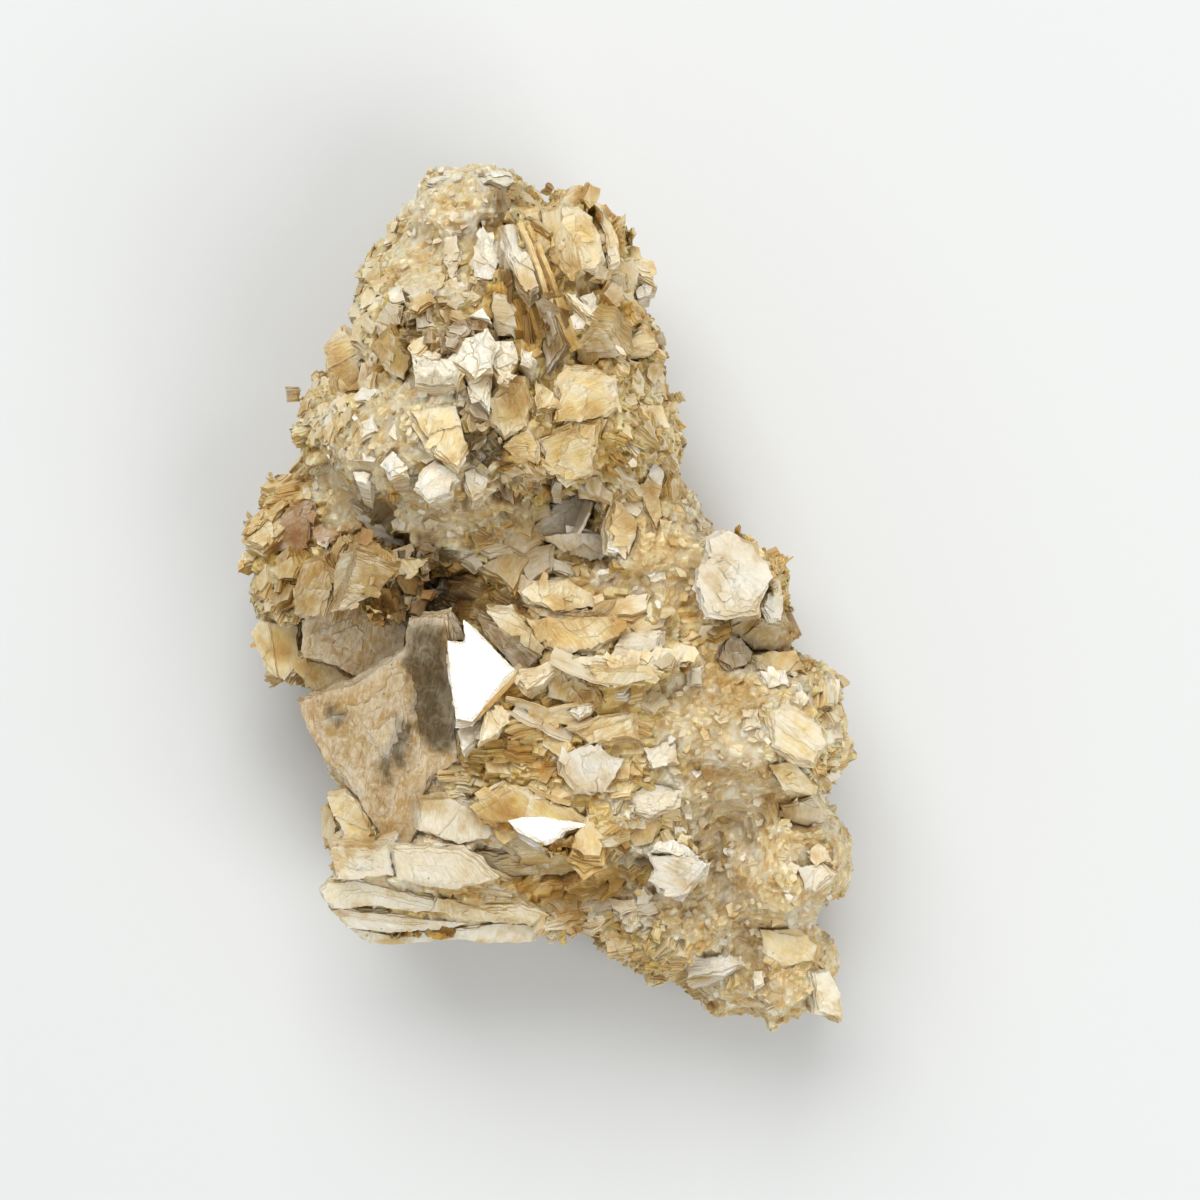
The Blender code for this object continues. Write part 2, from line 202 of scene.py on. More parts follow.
    ("sheaf_belly", "straw", ((518, 703), (545, 708), (572, 705), (592, 714), (575, 726), (548, 722)), (14, 260), 0.2, 2.0),
    ("sheaf_flake", "silver", ((570, 710), (581, 702), (594, 706), (590, 712), (579, 717)), (20, 96), 1.8, 1.2),
    ("sheaf_pool", "gold", ((570, 727), (600, 718), (631, 714), (635, 738), (610, 742), (590, 744)), (10, 100), 0.8, 2.0),
    ("fan_1", "pearl", ((462, 750), (460, 728), (470, 724), (482, 714), (487, 720), (478, 735)), (22, 110), 1.4, 2.0),
    ("fan_2", "cream", ((488, 712), (497, 704), (512, 713), (499, 733), (482, 740)), (18, 60), 1.4, 2.0),
    # the middle
    ("ice_1", "milk", ((564, 752), (590, 744), (604, 752), (621, 761), (613, 779), (605, 792), (579, 790), (566, 774)), (12, 330), 0.8, 2.0),
    ("ice_2", "grey", ((631, 796), (652, 785), (679, 792), (674, 805), (650, 816), (635, 811)), (14, 80), 0.8, 2.0),
    ("ice_3", "grey", ((644, 748), (674, 744), (676, 762), (652, 768)), (14, 60), 0.8, 2.0),
    ("bowl_mirror", "mirror", ((507, 820), (529, 812), (542, 813), (561, 820), (570, 820), (590, 825), (564, 831),
                               (557, 842), (544, 845), (527, 836), (514, 829)), (20, 96), 1.2, 1.4),
    ("bowl_back", "gold", ((470, 806), (505, 783), (527, 788), (570, 810), (592, 823), (565, 836), (505, 834),
                           (486, 824)), (6, 265), 0.0, 2.0),
    ("bowl_front", "straw", ((490, 831), (506, 826), (527, 839), (544, 848), (557, 845), (550, 853), (522, 853)), (24, 100), 0.8, 2.0),
    ("bowl_shade", "honey", ((477, 852), (530, 856), (579, 850), (581, 866), (561, 876), (505, 876), (480, 868)), (30, 262), -2.0, 1.4),
    # the foot
    ("foot_pale", "cream", ((327, 797), (344, 795), (359, 805), (371, 833), (367, 846), (344, 836), (335, 819)), (18, 200), 1.0, 2.4),
    ("foot_nub", "straw", ((319, 809), (326, 804), (337, 826), (333, 843), (323, 846)), (24, 190), 1.0, 2.4),
    ("foot_flake_1", "pearl", ((422, 803), (450, 801), (472, 808), (491, 820), (488, 836), (459, 842), (419, 832)), (18, 270), 1.4, 2.6),
    ("foot_flake_2", "pearl", ((328, 846), (352, 847), (370, 850), (390, 843), (394, 876), (350, 881), (336, 881)), (18, 260), 1.6, 2.4),
    ("foot_flake_3", "grey", ((391, 848), (430, 851), (459, 853), (475, 862), (491, 879), (454, 890), (430, 886),
                              (398, 880)), (16, 265), 1.4, 2.4),
    ("foot_leaf_1", "chalk", ((321, 892), (328, 883), (354, 881), (389, 889), (437, 900), (480, 911), (415, 912),
                              (372, 906), (337, 909), (326, 902)), (20, 268), 1.6, 1.6),
    ("foot_leaf_2", "chalk", ((332, 911), (341, 909), (372, 913), (415, 920), (470, 924), (440, 932), (389, 934),
                              (350, 928)), (20, 268), 1.2, 1.8),
    ("foot_leaf_3", "chalk", ((350, 930), (389, 936), (440, 934), (500, 922), (536, 923), (532, 941), (489, 943),
                              (450, 938), (430, 943), (389, 945), (370, 944)), (22, 266), 1.0, 2.0),
    ("foot_leaf_4", "cream", ((437, 898), (480, 908), (520, 905), (548, 915), (536, 924), (480, 922), (430, 912)),
     (26, 270), 1.2, 1.6),
    # the pearly sheet and the recess below it
    ("pearl_sheet", "milk", ((709, 539), (728, 532), (750, 545), (767, 563), (773, 577), (762, 595), (757, 612),
                              (728, 617), (707, 615), (698, 586), (698, 569), (711, 556)), (10, 40), 1.6, 1.8),
    ("pearl_flap", "chalk", ((762, 608), (765, 595), (778, 585), (782, 600), (781, 619), (770, 619)), (24, 30), 1.2, 1.8),
    ("recess_back", "honey", ((728, 620), (755, 617), (782, 622), (795, 640), (780, 652), (755, 650), (740, 638)), (30, 262), -0.4, 2.0),
    ("recess_wall", "brown", ((717, 660), (729, 634), (742, 640), (752, 652), (745, 665), (730, 669)), (30, 20), -0.2, 2.4),
    ("recess_floor", "gold", ((752, 656), (795, 651), (803, 669), (786, 675), (760, 670)), (26, 85), 0.2, 2.4),
    # the right lobe
    ("lobe_plate", "cream", ((771, 712), (791, 709), (819, 728), (823, 743), (812, 762), (795, 758), (773, 745)), (12, 20), 1.8, 2.4),
    ("lobe_yellow", "straw", ((769, 766), (795, 762), (815, 788), (812, 795), (784, 791)), (16, 280), 1.4, 2.4),
    ("lobe_lip", "cream", ((780, 804), (812, 797), (828, 817), (808, 825), (784, 819)), (20, 270), 1.2, 2.4),
    ("lobe_flake_1", "pearl", ((760, 671), (784, 670), (787, 684), (769, 687)), (20, 95), 1.4, 2.0),
    ("lobe_flake_2", "grey", ((685, 669), (702, 666), (701, 684), (687, 685)), (16, 100), 1.4, 1.8),
    ("lobe_flake_3", "grey", ((743, 710), (758, 709), (758, 725), (743, 730)), (14, 120), 1.2, 1.8),
    ("clear_top", "silver", ((652, 851), (660, 843), (674, 841), (698, 855), (690, 858), (668, 853)), (22, 95), 2.2, 1.4),
    ("clear_body", "milk", ((652, 858), (672, 856), (692, 858), (707, 864), (700, 875), (679, 896), (659, 888),
                            (650, 880), (657, 870)), (16, 180), 1.8, 1.6),
    ("toe_glint", "silver", ((685, 962), (696, 957), (737, 957), (741, 964), (722, 973), (688, 979)), (22, 95), 1.8, 1.8),
    ("toe_glint_2", "white", ((753, 971), (763, 969), (763, 983), (755, 987)), (24, 95), 1.6, 1.6),
    ("toe_cream_1", "pearl", ((796, 867), (822, 864), (833, 875), (816, 892), (806, 887)), (14, 180), 1.6, 2.4),
    ("toe_cream_2", "pearl", ((806, 850), (827, 850), (831, 862), (814, 857)), (20, 100), 1.6, 1.8),
    ("toe_gold", "straw", ((761, 930), (796, 929), (816, 946), (812, 960), (784, 967), (767, 956)), (12, 120), 1.2, 2.4),
    ("toe_plate", "chalk", ((811, 973), (829, 971), (839, 993), (840, 1018), (818, 1011)), (18, 20), 1.2, 2.4),
)

# ---------------------------------------------------------------- sheets seen edge-on
# name, kind, first and last pixel of the edge, thickness, depth, lean, azimuth of the lean
BLADES = (
    ("mirror_fin", "straw", (524, 667), (471, 724), 0.7, 6, 12, 320),
    ("sheaf_fin_1", "pearl", (548, 662), (609, 687), 0.5, 5, 25, 240),
    ("sheaf_fin_2", "pearl", (506, 697), (548, 709), 0.5, 5, 20, 60),
    ("sheaf_fin_3", "pearl", (548, 709), (605, 701), 0.5, 5, 20, 100),
    ("sheaf_fin_4", "white", (511, 713), (540, 728), 0.7, 5, 25, 240),
    ("sheaf_fin_5", "white", (540, 728), (570, 742), 0.6, 4, 25, 240),
    ("sheaf_fin_6", "pearl", (568, 730), (594, 722), 0.6, 4, 25, 280),
    ("bowl_fin_1", "pearl", (477, 797), (505, 781), 0.5, 4, 20, 120),
    ("bowl_fin_2", "cream", (527, 787), (570, 806), 0.5, 4, 25, 240),
    ("bowl_fin_3", "cream", (491, 826), (520, 848), 0.6, 4, 25, 40),
    ("ledge_edge", "white", (593, 503), (579, 534), 0.5, 3, 20, 330),
    ("crown_line_1", "brown", (498, 190), (504, 222), 0.8, 5, 25, 190),
    ("crown_line_2", "cream", (520, 222), (547, 292), 0.8, 6, 25, 20),
    ("crown_line_3", "straw", (529, 225), (560, 300), 0.7, 6, 25, 20),
    ("crown_line_4", "cream", (604, 204), (628, 246), 0.8, 6, 25, 30),
    ("centre_fin_1", "gold", (512, 300), (528, 352), 0.8, 6, 30, 180),
    ("centre_fin_2", "straw", (526, 292), (543, 350), 0.8, 6, 30, 180),
    ("centre_fin_3", "gold", (548, 300), (572, 352), 0.8, 6, 28, 190),
    ("wedge_crease", "cream", (357, 557), (337, 607), 0.8, 4, 20, 200),
)

# ---------------------------------------------------------------- the dark windows of the great sheet, painted with the shade seen through it
WINDOWS = (
    ((414, 624), (444, 628), (450, 654), (440, 690), (424, 700), (411, 672), (404, 646)),
    ((418, 684), (437, 662), (450, 656), (458, 738), (440, 752), (424, 740), (414, 708)),
    ((400, 716), (408, 726), (405, 756), (396, 768), (392, 748)),
    ((386, 750), (393, 762), (388, 780), (381, 772)),
    ((330, 709), (338, 709), (340, 718), (332, 720)),
)

# The windows' colour: the sheet's own olive tint, darkened with painted shade for the dark seen through the clear
# sheet.
WINDOW_TINT_AND_SHADE = (0.10, 0.065, 0.016)

# ---------------------------------------------------------------- how the mica lies between them
# centre (pixels), radius (pixels), (lean, azimuth), spread, book size (mm), sugar, kinds
ZONES = (
    ((440, 195), 50, (25, 100), 0.9, 4.1, 1.0, "cream pearl cream white pearl"),
    ((430, 260), 45, (30, 120), 1.0, 4.1, 1.0, "cream pearl straw cream"),
    ((565, 235), 60, (35, 10), 0.35, 6.8, 0.3, "gold straw honey straw"),
    ((640, 270), 45, (50, 5), 0.4, 5.4, 0.7, "gold straw honey"),
    ((530, 300), 50, (72, 5), 0.18, 8.8, 0.0, "honey gold brown honey"),
    ((605, 325), 55, (60, 30), 0.3, 8.1, 0.1, "honey gold honey brown"),
    ((440, 330), 40, (30, 90), 0.6, 5.4, 0.3, "honey brown gold"),
    ((365, 330), 60, (45, 160), 0.35, 7.4, 0.4, "straw gold cream honey"),
    ((330, 400), 50, (50, 170), 0.4, 5.4, 0.8, "straw cream gold"),
    # The olive in this gap between the sheets is painted shade.
    ((475, 430), 35, (35, 20), 0.8, 4.1, 0.6, "brown honey olive"),
    ((560, 430), 70, (22, 270), 0.3, 8.8, 0.0, "gold honey gold honey"),
    ((545, 480), 40, (30, 250), 0.4, 5.4, 0.3, "honey brown gold"),
    ((650, 440), 55, (55, 20), 0.5, 5.4, 0.8, "gold honey straw gold"),
    ((390, 460), 85, (10, 90), 1.6, 3.5, 1.6, "cream pearl straw pearl white"),
    ((290, 450), 40, (60, 140), 0.3, 7.4, 0.2, "gold straw cream"),
    ((275, 530), 45, (65, 110), 0.25, 8.1, 0.1, "gold honey straw"),
    ((275, 600), 55, (60, 150), 0.3, 7.4, 0.1, "honey gold brown straw"),
    ((360, 580), 55, (40, 120), 0.4, 8.1, 0.0, "honey brown gold honey brown"),
    # Olive and brown in the recess left of the mirror: painted shade.
    ((408, 590), 42, (40, 60), 0.7, 3.2, 0.2, "olive brown olive"),
    ((310, 690), 40, (55, 190), 0.3, 8.1, 0.1, "straw cream gold"),
    ((490, 620), 45, (60, 240), 0.2, 8.1, 0.1, "brown honey gold"),
    ((570, 560), 80, (25, 80), 0.3, 8.1, 0.3, "cream straw pearl gold cream"),
    ((665, 560), 60, (30, 50), 0.7, 4.7, 1.0, "cream straw grey"),
    ((700, 530), 35, (50, 60), 1.0, 3.5, 1.2, "grey honey straw"),
    ((760, 640), 45, (65, 95), 0.25, 8.1, 0.0, "honey gold brown"),
    ((620, 650), 75, (45, 95), 0.2, 10.1, 0.0, "cream straw cream gold"),
    ((550, 705), 60, (50, 105), 0.25, 8.8, 0.0, "cream gold straw honey"),
    ((480, 765), 55, (45, 100), 0.3, 8.1, 0.1, "straw gold cream honey"),
    ((570, 775), 55, (20, 110), 0.4, 7.4, 0.3, "straw grey gold cream"),
    ((560, 850), 75, (55, 95), 0.22, 9.5, 0.1, "gold straw honey cream"),
    ((430, 870), 120, (62, 268), 0.14, 12.2, 0.0, "cream pearl straw pearl"),
    ((600, 925), 60, (45, 110), 0.5, 6.8, 0.5, "cream straw pearl gold"),
    ((735, 700), 65, (15, 80), 1.2, 4.1, 1.4, "pearl cream pearl straw"),
    ((810, 740), 50, (50, 20), 0.6, 6.1, 0.6, "cream straw pearl"),
    ((730, 795), 60, (20, 120), 0.9, 4.1, 1.0, "grey cream honey pearl"),
    ((650, 850), 50, (30, 100), 0.7, 5.4, 0.7, "gold straw grey honey"),
    ((725, 920), 85, (20, 90), 1.2, 4.1, 1.4, "pearl cream pearl straw"),
    ((820, 880), 60, (40, 30), 1.0, 4.7, 1.0, "cream straw gold pearl"),
    ((660, 965), 50, (45, 120), 0.8, 5.4, 0.8, "straw gold cream"),
    ((780, 990), 70, (30, 60), 1.2, 4.7, 1.1, "cream straw pearl"),
)
HIDDEN_SIDES = "cream straw cream gold straw honey"
HIDDEN_BOOK = 7.0
# Paler kinds for books on surfaces that face sideways or down: painted light against the shade that falls there.
PALER_IN_SHADE = {"brown": "straw", "honey": "straw", "olive": "gold", "gold": "cream"}
FROST_GRAIN = Vector((-0.28, -1.0, 0.0))

# ---------------------------------------------------------------- sizes of what is made
GROUND_VOXEL = 0.70
GROUND_SINK = 1.1
GROUND_SMOOTH = 2
CELL_TRIES = 26000
CELL_SPACING = 0.50
CELL_SHARE = (0.34, 0.52)
CELL_RISE = 0.30
TERRACE = 0.9
COMB = 0.9
SUGAR_SHARE = 0.3
SUGAR_TINT = (0.97, 0.83, 0.53)
SUGAR_CRUMBS = ((0.42, 0.55), (1.15, 0.28))
SUGARY = 0.9
DECK_STAND = (0.7, 0.22)
MOST_LEAVES = 9
OVERHANG = 1.1
SIDE_OVERHANG = 0.6
HIDDEN_DEPTH = 9.0
ROOT_DEPTH = 2.6
DEEPEST_ROOT = 8.0
ROOT_TAPER = 0.72
GLINT_SHARE = 0.07
FLAKE_TRIES = 8000
FLAKE_SIZE = (1.0, 3.0)
LEAF = 0.30
THIN_LEAF = 0.13
DROOP = 0.28
DROOP_WIDTH = 1.3
SCALES_PER_AREA = 0.12
SCALE_SIZE = (1.4, 4.6)
EDGE_STEP = 0.5
CRUMPLED_KINDS = ("silver", "white", "foil", "frost")
FRAY_WIDTH = 1.8
SHARP_ANGLE = 28
GROUND_SHARP_ANGLE = 48
BOX_MARGIN = 0.05
SEED = 11

rng = random.Random(SEED)
draw = np.random.default_rng(SEED)


# ================================================================ the view
def pixel_ray(pixel):
    """From the camera through this pixel of the photograph: one unit down for each unit of length."""
    half = FRAME_PIXELS / 2
    return Vector(((pixel[0] - half) * RAY_SLOPE, (half - pixel[1]) * RAY_SLOPE, -1.0))


def pixels_of(points):
    """Where points (n x 3, mm) show in the photograph."""
    down = EYE.z - points[:, 2]
    half = FRAME_PIXELS / 2
    across = (points[:, 0] - EYE.x) / down / RAY_SLOPE + half
    along = half - (points[:, 1] - EYE.y) / down / RAY_SLOPE
    return np.stack([across, along], axis=1)


def leaning(lean, azimuth):
    """The unit normal of a face that leans so far, that way."""
    tip, way = math.radians(lean), math.radians(azimuth)
    return Vector((math.sin(tip) * math.cos(way), math.sin(tip) * math.sin(way), math.cos(tip)))


def random_unit():
    return Vector([rng.gauss(0, 1) for _ in range(3)]).normalized()


def basis(axis, turn):
    """Two unit vectors across axis, the first turned by so much."""
    aside = axis.orthogonal().normalized()
    u = Matrix.Rotation(turn, 3, axis) @ aside
    return u, axis.cross(u)


def distance_to_outline(places, outline):
    """How far each place (n x 2) lies outside a closed outline; negative inside."""
    corners = np.asarray(outline, float)
    ends = np.roll(corners, -1, axis=0)
    nearest = np.full(len(places), np.inf)
    inside = np.zeros(len(places), bool)
    for start, end in zip(corners, ends):
        side = end - start
        share = np.clip(((places - start) @ side) / (side @ side + 1e-9), 0, 1)
        gap = np.linalg.norm(places - start - share[:, None] * side, axis=1)
        nearest = np.minimum(nearest, gap)
        crosses = (start[1] > places[:, 1]) != (end[1] > places[:, 1])
        rise = side[1] if abs(side[1]) > 1e-9 else 1e-9
        inside ^= crosses & (places[:, 0] < start[0] + (places[:, 1] - start[1]) / rise * side[0])
    return np.where(inside, -nearest, nearest)


# ================================================================ a mesh of many plates
class Plates:
    """Closed mica plates gathered into one mesh, with what the material needs at each point."""

    def __init__(self):
        self.points = []
        self.faces = []
        self.values = {"tint": [], "c_axis": [], "grain": [], "look": [], "fray": []}

    def add(self, leaf, c_axis, u, v, tint, look):
        """One closed leaf: its points, the share of fraying at each, and its faces."""
        points, fray, faces = leaf
        start = len(self.points)
        origin = Vector([rng.uniform(-50, 50) for _ in range(3)])
        middle = points[0]
        for point in points:
            inside = Vector([min(max(at, low), high) for at, low, high in zip(point, *LIMITS)])
            self.points.append(inside * MM)
            away = point - middle
            grain = Vector((away.dot(u), away.dot(v), away.dot(c_axis))) + origin
            self.values["grain"].append(grain * MM)
        tints = tint if isinstance(tint[0], tuple) else [tuple(tint)] * len(points)
        self.values["tint"].extend([(*shade, 1.0) for shade in tints])
        self.values["c_axis"].extend([tuple(c_axis)] * len(points))
        self.values["look"].extend(look if isinstance(look, list) else [look] * len(points))
        self.values["fray"].extend(fray)
        self.faces.extend([[start + index for index in face] for face in faces])

    def make(self, name):
        mesh = bpy.data.meshes.new(name)
        mesh.from_pydata([tuple(point) for point in self.points], [], self.faces)
        mesh.set_sharp_from_angle(angle=math.radians(SHARP_ANGLE))
        put_attributes(mesh, self.values)
        return link_piece(mesh, name)


def put_attributes(mesh, values):
    kinds = {"tint": ("FLOAT_COLOR", "color"), "fray": ("FLOAT", "value")}
    for name, held in values.items():
        kind, field = kinds.get(name, ("FLOAT_VECTOR", "vector"))
        layer = mesh.attributes.new(name, kind, "POINT")
        layer.data.foreach_set(field, np.asarray(held, np.float32).ravel())


def link_piece(mesh, name):
    piece = bpy.data.objects.new(name, mesh)
    bpy.context.scene.collection.objects.link(piece)
    return piece


def shaded(kind, spread=0.07):
    """The kind's colour, a little lighter or darker, warmer or cooler."""
    colour = KINDS[kind][0]
    shade = rng.uniform(1 - spread, 1 + spread)
    warmth = rng.uniform(-0.04, 0.04)
    return [min(0.96, colour[0] * shade), min(0.95, colour[1] * shade * (1 - warmth / 2)),
            min(0.94, colour[2] * shade * (1 - 2 * warmth))]


# ================================================================ the groundmass
def cad_copy():
    """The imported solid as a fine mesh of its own, a little smaller than it."""
    piece = link_piece(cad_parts[NODE].data.copy(), "groundmass")
    fuse = piece.modifiers.new("fuse", "REMESH")
    fuse.mode = "VOXEL"
    fuse.voxel_size = GROUND_VOXEL * MM
    ease = piece.modifiers.new("ease", "SMOOTH")
    ease.factor = 0.5
    ease.iterations = GROUND_SMOOTH
    sink = piece.modifiers.new("sink", "DISPLACE")
    sink.mid_level = 0.0
    sink.strength = -GROUND_SINK * MM
    graph = bpy.context.evaluated_depsgraph_get()
    mesh = bpy.data.meshes.new_from_object(piece.evaluated_get(graph))
    piece.modifiers.clear()
    piece.data = mesh
    return piece


def points_of(mesh):
    points = np.empty(len(mesh.vertices) * 3, np.float32)
    mesh.vertices.foreach_get("co", points)
    return points.reshape(-1, 3).astype(float) / MM


def normals_of(mesh):
    normals = np.empty(len(mesh.vertices) * 3, np.float32)
    mesh.vertex_normals.foreach_get("vector", normals)
    return normals.reshape(-1, 3).astype(float)


def set_points(mesh, points):
    mesh.vertices.foreach_set("co", np.asarray(points * MM, np.float32).ravel())
    mesh.update()


def tree_of(mesh):
    """A ray tree of the mesh, in millimetres."""
    points = [tuple(point) for point in points_of(mesh)]
    return BVHTree.FromPolygons(points, [tuple(face.vertices) for face in mesh.polygons])


def height_under(tree, pixel):
    """How high the first thing that the camera sees at this pixel stands, or what is nearest to it."""
    place = tree.ray_cast(EYE, pixel_ray(pixel).normalized())[0]
    if place is None:
        place = tree.find_nearest(EYE + pixel_ray(pixel) * CAMERA_DISTANCE)[0]
    return place.z


class Sheet:
    """A sheet that is traced in the photograph: its plane, and its outline on that plane."""

    def __init__(self, tree, name, kind, corners, lean, lift, thickness):
        self.name, self.kind, self.corners, self.thickness = name, kind, corners, thickness
        self.normal = leaning(*lean)
        centre = np.mean(corners, axis=0)
        probes = [centre] + [centre * 0.35 + np.array(corner) * 0.65 for corner in corners]
        height = float(np.median([height_under(tree, probe) for probe in probes])) + lift
        self.middle = EYE + pixel_ray(centre) * (EYE.z - height)
        gaps = [self.on_plane(corner).z - height_under(tree, corner) for corner in corners]
        self.root = min(max(0.0, *gaps) * self.normal.z + ROOT_DEPTH, DEEPEST_ROOT)

    def on_plane(self, pixel):
        ray = pixel_ray(pixel)
        return EYE + ray * ((self.middle - EYE).dot(self.normal) / ray.dot(self.normal))

    def heights_at(self, places):
        """The plane's height under each place (n x 2 pixels)."""
        half = FRAME_PIXELS / 2
        rays = np.stack([(places[:, 0] - half) * RAY_SLOPE, (half - places[:, 1]) * RAY_SLOPE,
                         -np.ones(len(places))], axis=1)
        reach = float((self.middle - EYE).dot(self.normal)) / (rays @ np.array(self.normal))
        return EYE.z - reach


def carve(mesh, sheets):
    """Lowers the groundmass under each sheet, so that the sheet shows whole."""
    points = points_of(mesh)
    facing_up = normals_of(mesh)[:, 2] > -0.3
    for sheet in sheets:
        places = pixels_of(points)
        low, high = np.min(sheet.corners, axis=0) - 4, np.max(sheet.corners, axis=0) + 4
        near = facing_up & (places > low).all(1) & (places < high).all(1) & (points[:, 2] > 6)
        picked = np.flatnonzero(near)
        if not len(picked):
            continue
        gaps = distance_to_outline(places[picked], sheet.corners)
        limits = sheet.heights_at(places[picked]) - 0.9
        limits += np.clip(gaps, 0, 4) * 0.35
        under = (gaps < 4) & (points[picked, 2] > limits)
        points[picked[under], 2] = limits[under]
    set_points(mesh, points)


def sit_down(mesh):
    """Brings the flat broken back down to the floor, with a low relief on it."""
    points = points_of(mesh)
    back = (normals_of(mesh)[:, 2] < -0.55) & (points[:, 2] < 2.0)
    relief = np.array([max(0.0, 0.5 * mathutils.noise.noise(Vector(point) * 0.5)) for point in points[back]])
    points[back, 2] = relief
    set_points(mesh, points)


class Cells:
    """The books that the groundmass is intergrown from: where each is, how it faces and how big it is."""

    def __init__(self, mesh):
        points, normals = points_of(mesh), normals_of(mesh)
        pixels = pixels_of(points)
        self.middles, self.axes, self.sizes, self.zones, self.normals = [], [], [], [], []
        grid = {}
        for index in draw.permutation(len(points))[:CELL_TRIES]:
            place, normal = Vector(points[index]), Vector(normals[index])
            zone = zone_at(pixels[index]) if normal.z > -0.25 else None
            sugary = zone is not None and zone[5] > SUGARY
            size = (zone[4] if zone else HIDDEN_BOOK) * CELL_SHARE[0 if sugary else 1] * rng.uniform(0.8, 1.7)
            around = tuple(int(at // 6) for at in place)
            near = [other for dx in (-1, 0, 1) for dy in (-1, 0, 1) for dz in (-1, 0, 1)
                    for other in grid.get((around[0] + dx, around[1] + dy, around[2] + dz), ())]
            if any((other - place).length < size * CELL_SPACING for other in near):
                continue
            grid.setdefault(around, []).append(place)
            self.middles.append(place)
            self.axes.append(axis_here(zone, place, normal))
            self.sizes.append(size)
            self.zones.append(zone)
            self.normals.append(normal)
        count = len(self.middles)
        self.sugary = np.array([zone is not None and zone[5] > SUGARY for zone in self.zones])
        self.layers = draw.uniform(0.7, 1.8, count)
        self.rises = draw.normal(0.0, CELL_RISE, count)
        self.kinds = [local_kind(zone[6] if zone else HIDDEN_SIDES, place)
                      for zone, place in zip(self.zones, self.middles)]

    def owners(self, points):
        """Which book each point belongs to, and how far along its c axis the point is."""
        tree = KDTree(len(self.middles))
        for index, middle in enumerate(self.middles):
            tree.insert(middle, index)
        tree.balance()
        found = np.array([[index for _, index, _ in tree.find_n(point, 7)] for point in points])
        away = points[:, None, :] - np.array(self.middles)[found]
        along = (away * np.array(self.axes)[found]).sum(2)
        score = ((away ** 2).sum(2) + 2.0 * along ** 2) / np.array(self.sizes)[found] ** 2
        best = score.argmin(1)
        rows = np.arange(len(points))
        return found[rows, best], along[rows, best]


def terrace(mesh, cells):
    """Steps the groundmass along the leaves of each book: flat faces with steps, and combs where it is edge on."""
    points, normals = points_of(mesh), normals_of(mesh)
    cell, along = cells.owners(points)
    facing = (normals * np.array(cells.axes)[cell]).sum(1)
    layer = np.floor(along / cells.layers[cell])
    chance = np.modf(np.abs(np.sin(cell * 12.9898 + layer * 78.233)) * 43758.5453)[0]
    drop = (layer + 0.5) * cells.layers[cell] - along
    flat = np.clip(drop / np.maximum(facing, 0.4), -TERRACE, TERRACE) * np.clip((facing - 0.25) * 4, 0, 1)
    comb = (chance - 0.6) * COMB * np.clip(1.1 - facing, 0, 1)
    steps = (flat + comb + cells.rises[cell]) * np.where(cells.sugary[cell], SUGAR_SHARE, 1.0)
    crumbs = sum(np.array([mathutils.noise.noise(Vector(point) * pace) for point in points]) * rise
                 for pace, rise in SUGAR_CRUMBS)
    grown = points + normals * (steps + crumbs * cells.sugary[cell])[:, None]
    grown[:, 2] = np.where(points[:, 2] < 0.9, points[:, 2], grown[:, 2])
    set_points(mesh, np.clip(grown, *LIMITS))
    return cell


def openness(tree, points, normals, rays=8, reach=26.0):
    """How much of the sky above each point is clear of the groundmass: 1 is open, 0 is shut in."""
    ways = [random_unit() for _ in range(rays)]
    clear = np.zeros(len(points))
    for index, (point, normal) in enumerate(zip(points, normals)):
        up = Vector(normal)
        start = Vector(point) + up * 1.2
        for way in ways:
            if tree.ray_cast(start, (up * 1.1 + way).normalized(), reach)[0] is None:
                clear[index] += 1
    return clear / rays


# ================================================================ leaves
def crosses_itself(rim):
    """Whether two sides of a 2-D outline cross."""
    a = np.array([tuple(spot) for spot in rim])
    b = np.roll(a, -1, axis=0)

    def side(p, q, r):
        return (q[..., 0] - p[..., 0]) * (r[..., 1] - p[..., 1]) - (q[..., 1] - p[..., 1]) * (r[..., 0] - p[..., 0])
    a1, b1, a2, b2 = a[:, None], b[:, None], a[None], b[None]
    apart = (side(a1, b1, a2) * side(a1, b1, b2) < -1e-12) & (side(a2, b2, a1) * side(a2, b2, b1) < -1e-12)
    return bool(apart.any())


def ragged(outline, step, chip, wander=0.0):
    """The outline as torn_rim makes it, drawn more gently until it doesn't cross itself."""
    for gentle in (1.0, 0.6, 0.3, 0.1):
        rim = torn_rim(outline, step, chip * gentle, wander * gentle)
        if not crosses_itself(rim):
            return rim
    return outline


def torn_rim(outline, step, chip, wander):
    """The 2-D outline with a point every step, broken back in short angular chips as a torn edge is."""
    made = []
    depth, left, drift = 0.0, 0.0, 0.0
    for index, corner in enumerate(outline):
        side = outline[(index + 1) % len(outline)] - corner
        pieces = max(1, round(side.length / step))
        out = Vector((side.y, -side.x)).normalized()
        for part in range(pieces):
            left -= step
            drift = 0.82 * drift + rng.gauss(0, wander)
            if left <= 0.0:
                depth, left = -abs(rng.gauss(0, chip)), rng.uniform(0.7, 3.2)
            share = 0.35 if part == 0 else 1.0
            made.append(corner + side * (part / pieces) + out * (depth * share + drift + rng.gauss(0, 0.04)))
    return made


def anticlockwise(outline):
    twice_area = sum(a.x * b.y - b.x * a.y for a, b in zip(outline, outline[1:] + outline[:1]))
    return outline if twice_area > 0 else outline[::-1]


def cut_off(outline, place, toward):
    """What is left of a convex-ish 2-D outline on the far side of a line."""
    kept = []
    for index, corner in enumerate(outline):
        after = outline[(index + 1) % len(outline)]
        here, there = (corner - place).dot(toward), (after - place).dot(toward)
        if here <= 0:
            kept.append(corner)
        if (here > 0) != (there > 0):
            kept.append(corner + (after - corner) * (here / (here - there)))
    return kept


